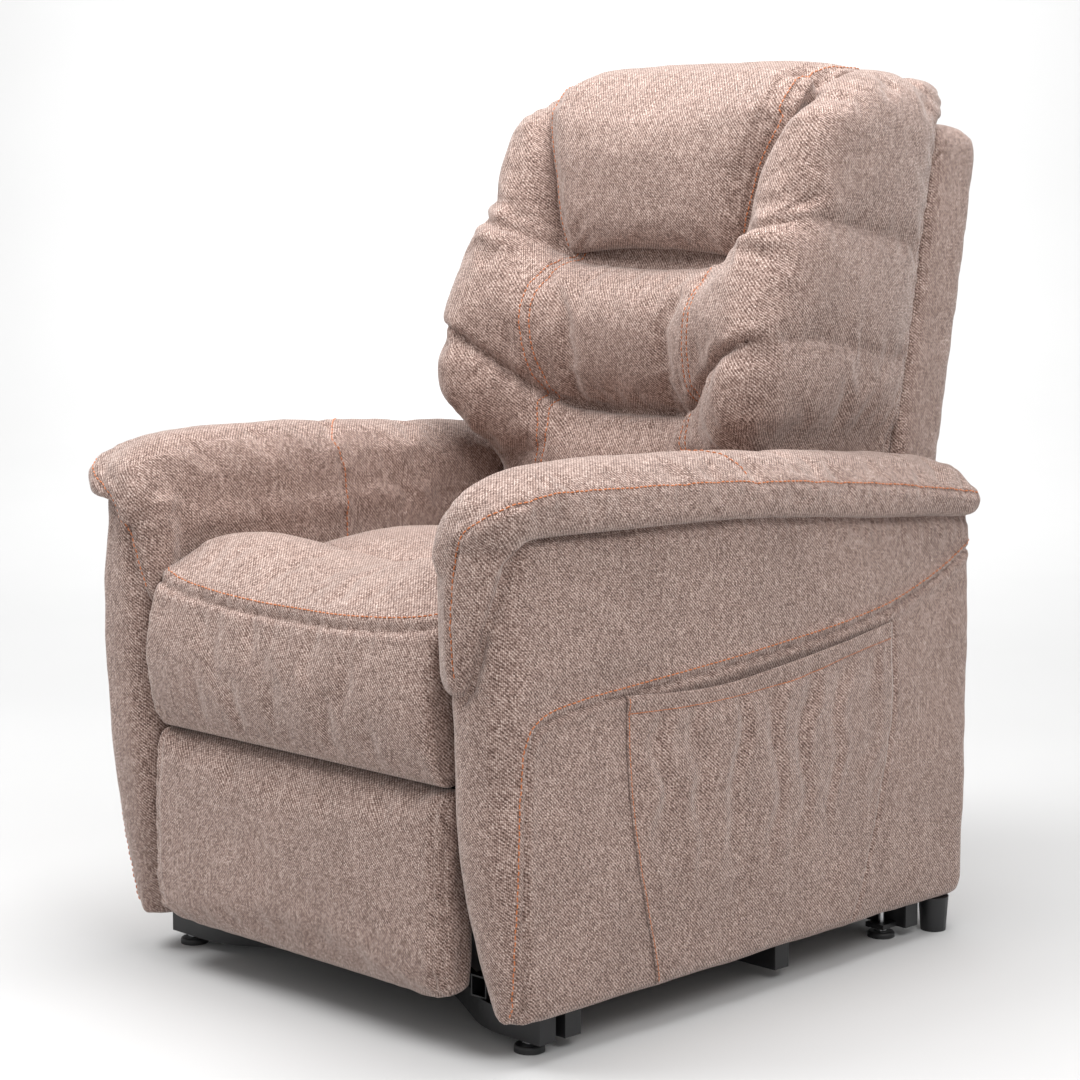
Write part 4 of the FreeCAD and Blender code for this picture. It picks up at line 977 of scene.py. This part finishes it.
def lapel_ring(side, sign, z):
    """A level slice of the cover that runs from the inner face around the front of the arm."""
    low, high, front = float(ARM_INNER(z)), float(ARM_OUTER(z)), float(ARM_FRONT(z))
    path = [(low, -395), (low, front + INNER_ROUND)]
    path += [(low + INNER_ROUND - INNER_ROUND * math.cos(a), front + INNER_ROUND - INNER_ROUND * math.sin(a))
             for a in np.radians(np.linspace(10, 90, 9))]
    path += [(high - BULLNOSE + BULLNOSE * math.sin(a), front + BULLNOSE - BULLNOSE * math.cos(a))
             for a in np.radians(np.linspace(0, 80, 9))]
    path = resample(path, 120)
    path = resample(path[(path[:, 0] < LAPEL[side](z)) | (path[:, 1] > front + 30) & (path[:, 0] < 300)], 50)
    way = np.gradient(path, axis=0)
    way /= np.linalg.norm(way, axis=1)[:, None]
    out = np.column_stack([way[:, 1], -way[:, 0]])
    left = np.linalg.norm(path - path[-1], axis=1)
    thick = 13 + 4 * float(step_up(420, 560, z))
    thick *= 0.35 + 0.65 * float(step_up(LAPEL_LOW[side] - 4, LAPEL_LOW[side] + 22, z))
    swell = np.sqrt(np.clip(1 - (1 - np.clip(left / 8, 0, 1)) ** 2, 0, 1)) * step_up(-398, -440, path[:, 1])
    outer = path + out * (0.6 + thick * swell)[:, None]
    inner = path - out * 13
    ring = np.vstack([outer, inner[::-1]])
    return np.column_stack([ring[:, 0] * sign, ring[:, 1], np.full(len(ring), z)])


def joined(parts, name):
    """One mesh from several closed ones."""
    verts, faces = [], []
    for part in parts:
        base = len(verts)
        verts += [tuple(v.co) for v in part.data.vertices]
        faces += [tuple(base + i for i in f.vertices) for f in part.data.polygons]
        bpy.data.objects.remove(part)
    return new_object(name, verts, faces)


def pad_piece(side, sign):
    """An arm pad and the arm's inner face below it, in one cover that curls down over the front."""
    steps = [(-489, 6), (-487, 3), (-483, 1)]
    steps += [(y, 0) for y in np.concatenate([np.linspace(-478, -440, 10), np.linspace(-430, 358, 50)])]
    steps += [(366, 1.5), (372, 5), (376, 11)]
    rings = inset_rings(lambda y: pad_ring(y, sign), steps, [0, 2])
    top = loft("pad_top_" + side, rings)
    levels = np.linspace(LAPEL_LOW[side], 579, 26)
    lapel = loft("pad_lapel_" + side, [lapel_ring(side, sign, z) for z in levels])
    face = [[(x * sign, y, z) for x, y in ((262, -434), (288, -434), (288, 374), (262, 374))]
            for z in np.linspace(300, 600, 4)]
    inner = loft("pad_face_" + side, face)
    obj = evened(remeshed(joined([top, lapel, inner], "pad_base_" + side), 6), 5)

    def held(p):
        edge = gap_to(p[:, [1, 2]], np.array([(-480, 584), (-88, 580), (376, 545)]))[0]
        return np.maximum.reduce([step_up(540, 500, p[:, 2]), step_up(14, 5, edge),
                                  step_up(350, 372, p[:, 1]), 0.7 * step_up(-478, -486, p[:, 1])])

    obj = subdivided(inflated(obj, 9, held, 3.0))
    p, n = points_of(obj), normals_of(obj)
    p += n * ((1.4 * ripple(p, 85, 2.3 + sign) + 0.8 * ripple(p, 30, 4.1 + sign))
              * step_up(400, 560, p[:, 2]))[:, None]
    along = ((368, 573), (240, 590), (120, 604), (-120, 624), (-301, 631), (-373, 633), (-411, 631),
             (-440, 627))
    outer = spline([(375 * sign, y, z) for y, z in along], 70)
    front = spline([tuple(outer[-1])] + [(x * sign, -470 - 17 * step_up(366, 340, x), z)
                                         for x, z in FRONT_SEAM[side]], 50)
    seam = np.vstack([outer, front[1:]])
    whole = np.ones(len(p))
    p = sewn(p, n, p, seam + (0, 0, -2.5), whole, 2.6, 2.6, 0.5, 1.6)
    band = np.array([(376 * sign, -352, 634), (376 * sign, -344, 580)])
    p = sewn(p, n, p, band, whole, 2.6, 2.2, 0.3, 0.8)
    cross = spline([(262 * sign, -147, 480), (262 * sign, -150, 579), (262 * sign, -156, 612),
                    (272 * sign, -160, 638), (300 * sign, -140, 647), (335 * sign, -100, 646),
                    (372 * sign, -80, 628)], 50)
    p = sewn(p, n, p, cross, whole, 2.0, 2.4, 0.3, 0.6)
    gather = bump(p[:, 1], -420, 38) * bump(np.abs(p[:, 0]), 345, 22) * (p[:, 2] > 610)
    p += n * (gather * 1.3 * np.sin((p[:, 1] + 0.5 * p[:, 0] * sign) / 3.2))[:, None]
    covered(obj, "arm_rest_" + side, p)
    runs = [snapped(obj, resample(seam, 260)), snapped(obj, resample(cross + (0, 5, 0), 80))]
    stitching("arm_rest_stitching_" + side, runs, "chassis")
    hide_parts("arm_pad_" + side, "arm_inner_panel_" + side)
    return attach(obj, "chassis")


for side, sign in SIDES:
    pad_piece(side, sign)

# ---------------------------------------------------------------- pockets and rear covers


def leaf(name, front, thick, outward):
    """A closed thin sheet from a grid of points in metres, as thick as thick says along outward."""
    rows, columns = front.shape[:2]
    back = front - np.array(outward) * thick * MM
    verts = np.vstack([front.reshape(-1, 3), back.reshape(-1, 3)])
    half = rows * columns
    at = np.arange(half).reshape(rows, columns)
    faces = []
    for i in range(rows - 1):
        for k in range(columns - 1):
            a, b, c, d = (int(m) for m in (at[i, k], at[i, k + 1], at[i + 1, k + 1], at[i + 1, k]))
            faces += [(a, b, c, d), (half + d, half + c, half + b, half + a)]
    rim = [int(m) for m in np.concatenate([at[0], at[1:, -1], at[-1, -2::-1], at[-2:0:-1, 0]])]
    for a, b in zip(rim, rim[1:] + rim[:1]):
        faces.append((b, a, half + a, half + b))
    return new_object(name, verts, faces)


def pocket_piece(side, sign):
    """A flat pouch sewn to the outside of an arm, gathered along its mouth to hang in soft pleats."""
    rows, columns = 84, 110
    t, s = np.meshgrid(np.linspace(0, 1, rows), np.linspace(0, 1, columns), indexing="ij")
    mouth, front, rear = spline(POUCH_MOUTH, columns), spline(POUCH_FRONT, rows), spline(POUCH_REAR, rows)
    flat = front[:, None] * (1 - s[..., None]) + rear[:, None] * s[..., None]
    straight = mouth[0] + (mouth[-1] - mouth[0]) * np.linspace(0, 1, columns)[:, None]
    flat += (mouth - straight)[None] * (1 - t[..., None])
    tree = BVHTree.FromObject(arms[side], bpy.context.evaluated_depsgraph_get())
    grid = np.zeros((rows, columns, 3))
    for i in range(rows):
        for k in range(columns):
            start = Vector(placed([440 * sign, flat[i, k, 0], flat[i, k, 1]]))
            hit = tree.ray_cast(start, Vector((-sign, 0, 0)))[0]
            grid[i, k] = unplaced(hit if hit is not None else start)
    slack = step_up(0, 0.05, np.minimum.reduce([s, 1 - s, 1 - t]))
    hem = 1 - step_up(0.05, 0.065, t)
    noise_at = ripple(grid.reshape(-1, 3), 70, 5.0 + sign).reshape(s.shape)
    pleat = np.sin(2 * math.pi * (7.5 * s + 0.5 * noise_at + 0.7 * t * (s - 0.5)))
    pleat += 0.4 * np.sin(2 * math.pi * (15 * s + 0.8 * noise_at + 0.5 * t))
    fall = step_up(0.04, 0.10, t) * step_up(0.85, 0.25, t) * (1 - 0.5 * step_up(0.6, 0.95, s))
    wander = ripple(grid.reshape(-1, 3), 55, 8.0 + sign).reshape(s.shape)
    belly = 7.5 * np.sin(math.pi * s) * np.exp(-((t - 0.25) / 0.5) ** 2)
    off = 2.6 + slack * (belly + 2.6 * pleat * fall + 1.8 * wander * step_up(0.05, 0.2, t)) + 1.0 * hem
    off += 2.2 * (1 - step_up(0, 0.05, t)) * np.sin(math.pi * s)
    off -= 1.0 * bump(t, 0.064, 0.008)
    grid[..., 0] += sign * off
    piece = leaf("pocket_" + side, placed(grid), 2.0, (sign, 0, 0))
    if sign < 0:
        piece.data.flip_normals()
    shaded(piece, fabric)
    runs = [dropped(piece, [(440 * sign, y, z) for y, z in spline(line, 150)], (-sign, 0, 0))
            for line in (POUCH_HEM, np.array(POUCH_FRONT) + (3, 0))]
    stitching("pocket_stitching_" + side, runs, "chassis")
    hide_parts("side_pocket_" + side)
    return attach(piece, "chassis")


for side, sign in SIDES:
    pocket_piece(side, sign)


def rear_cover_piece():
    """The covered board between the arms behind the seat."""
    outline = softened([(358, 58), (372, 58), (375, 140), (372, 227), (358, 227)], 3, 60)
    obj = subdivided(remeshed(slab("rear_base", outline, 267, 5, 20), 7))
    p, n = points_of(obj), normals_of(obj)
    rear = step_up(0.2, 0.8, n[:, 1])
    p += n * (rear * (1.5 * ripple(p, 80, 4.2) + 2.0 * bump(p[:, 0], 0, 200)))[:, None]
    p = sewn(p, n, p[:, [0, 2]], np.array([(-267, 214), (267, 214)]), rear, 2.5, 2.5, 0.3, 0.8)
    covered(obj, "rear_cover", p)
    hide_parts("rear_panel")
    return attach(obj, "chassis")


def skirt_piece():
    """The loose strip of cloth that joins the back to the cover below it."""
    half, low, high = 263, 219, 312
    x, z = np.meshgrid(np.linspace(-half, half, 100), np.linspace(low, high, 30))
    sag = np.sin(math.pi * (z - low) / (high - low))
    fold = 1.4 * np.sin(z / 7.0 + 1.3 * np.sin(x / 70)) + 1.2 * np.sin(x / 23 + 0.8 * np.sin(z / 20))
    grid = np.dstack([x, 371.5 - 3.0 * sag + fold * sag, z])
    piece = leaf("rear_skirt", placed(grid)[:, ::-1], 1.6, (0, 1, 0))
    shaded(piece, fabric)
    start, end = placed([0, 372, 226]), placed([0, 372, 304])
    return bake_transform(piece, "chassis", "backrest", start=tuple(start), end=tuple(end))


def flap_piece():
    """The cloth behind the seat, stretched over the rear rail below the back cushion."""
    half, front, rear = 260, 86, 238
    x, y = np.meshgrid(np.linspace(-half, half, 80), np.linspace(front, rear, 24))
    z = 385 + np.sin(x / 31 + np.sin(y / 25)) - 3.0 * np.sin(math.pi * (y - front) / (rear - front))
    piece = leaf("seat_flap", placed(np.dstack([x, y, z])), 1.6, (0, 0, 1))
    shaded(piece, fabric)
    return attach(piece, "chassis")


rear_cover_piece()
skirt_piece()
flap_piece()

# ---------------------------------------------------------------- floor, light and camera


def floor_material():
    s = Shader("studio_floor", Roughness=0.85)
    place = s.node("TexCoord").outputs["Object"]
    colour = s.mix(s.noise(place, 1.5, 3.0), (0.55, 0.55, 0.55, 1), (0.58, 0.58, 0.58, 1))
    return s.finish(colour=colour)


CAMERA_TURN = 44.8


def studio():
    """A pale floor that sweeps up behind, soft lights and the Standard view transform."""
    profile = [(-6, 0), (4.0, 0), (5.2, 0.12), (6.1, 0.6), (6.6, 1.5), (6.8, 3.0), (6.8, 7.0)]
    turn = math.radians(CAMERA_TURN)
    ahead = np.array([-math.sin(turn), math.cos(turn)])
    across = np.array([math.cos(turn), math.sin(turn)])
    verts, faces = [], []
    for d, z in profile:
        for w in (-9, 9):
            x, y = ahead * d + across * w
            verts.append((x, y, z - 0.0005))
    for i in range(len(profile) - 1):
        faces.append((2 * i, 2 * i + 1, 2 * i + 3, 2 * i + 2))
    floor = subdivided(new_object("studio_sweep", verts, faces), 3)
    floor.data.materials.append(floor_material())
    floor.data.polygons.foreach_set("use_smooth", np.ones(len(floor.data.polygons), bool))
    world = bpy.data.worlds.new("studio")
    world.use_nodes = True
    world.node_tree.nodes["Background"].inputs["Color"].default_value = (1.0, 1.0, 1.0, 1)
    world.node_tree.nodes["Background"].inputs["Strength"].default_value = 0.62
    bpy.context.scene.world = world
    wall = tuple(ahead * 6.6) + (1.5,)
    middle = (0, 0, 0.5)
    for name, place, size, power, towards in (("key", (-1.3, -1.6, 3.3), 1.8, 80, middle),
                                              ("top", (0.3, 0.2, 3.2), 2.0, 82, middle),
                                              ("fill", (2.6, -0.9, 2.9), 1.8, 44, middle),
                                              ("sweep_light", tuple(ahead * 3.6) + (3.8,), 2.5, 215, wall)):
        light = bpy.data.lights.new(name, "AREA")
        light.shape = "DISK"
        light.size = size
        light.energy = power
        lamp = bpy.data.objects.new(name, light)
        bpy.context.scene.collection.objects.link(lamp)
        lamp.location = place
        lamp.rotation_euler = (Vector(towards) - Vector(place)).to_track_quat("-Z", "Y").to_euler()
    bpy.context.scene.view_settings.view_transform = "Standard"


def camera():
    """A long lens at the front left corner of the chair, a little above its arms."""
    data = bpy.data.cameras.new("camera")
    data.lens = 87.2
    data.sensor_width = 36
    data.shift_y = -0.13
    data.clip_end = 60
    obj = bpy.data.objects.new("camera", data)
    bpy.context.scene.collection.objects.link(obj)
    obj.location = placed([2303, -2369, 938])
    obj.rotation_euler = (math.radians(90 - 4.3), 0, math.radians(CAMERA_TURN))
    bpy.context.scene.camera = obj


studio()
camera()
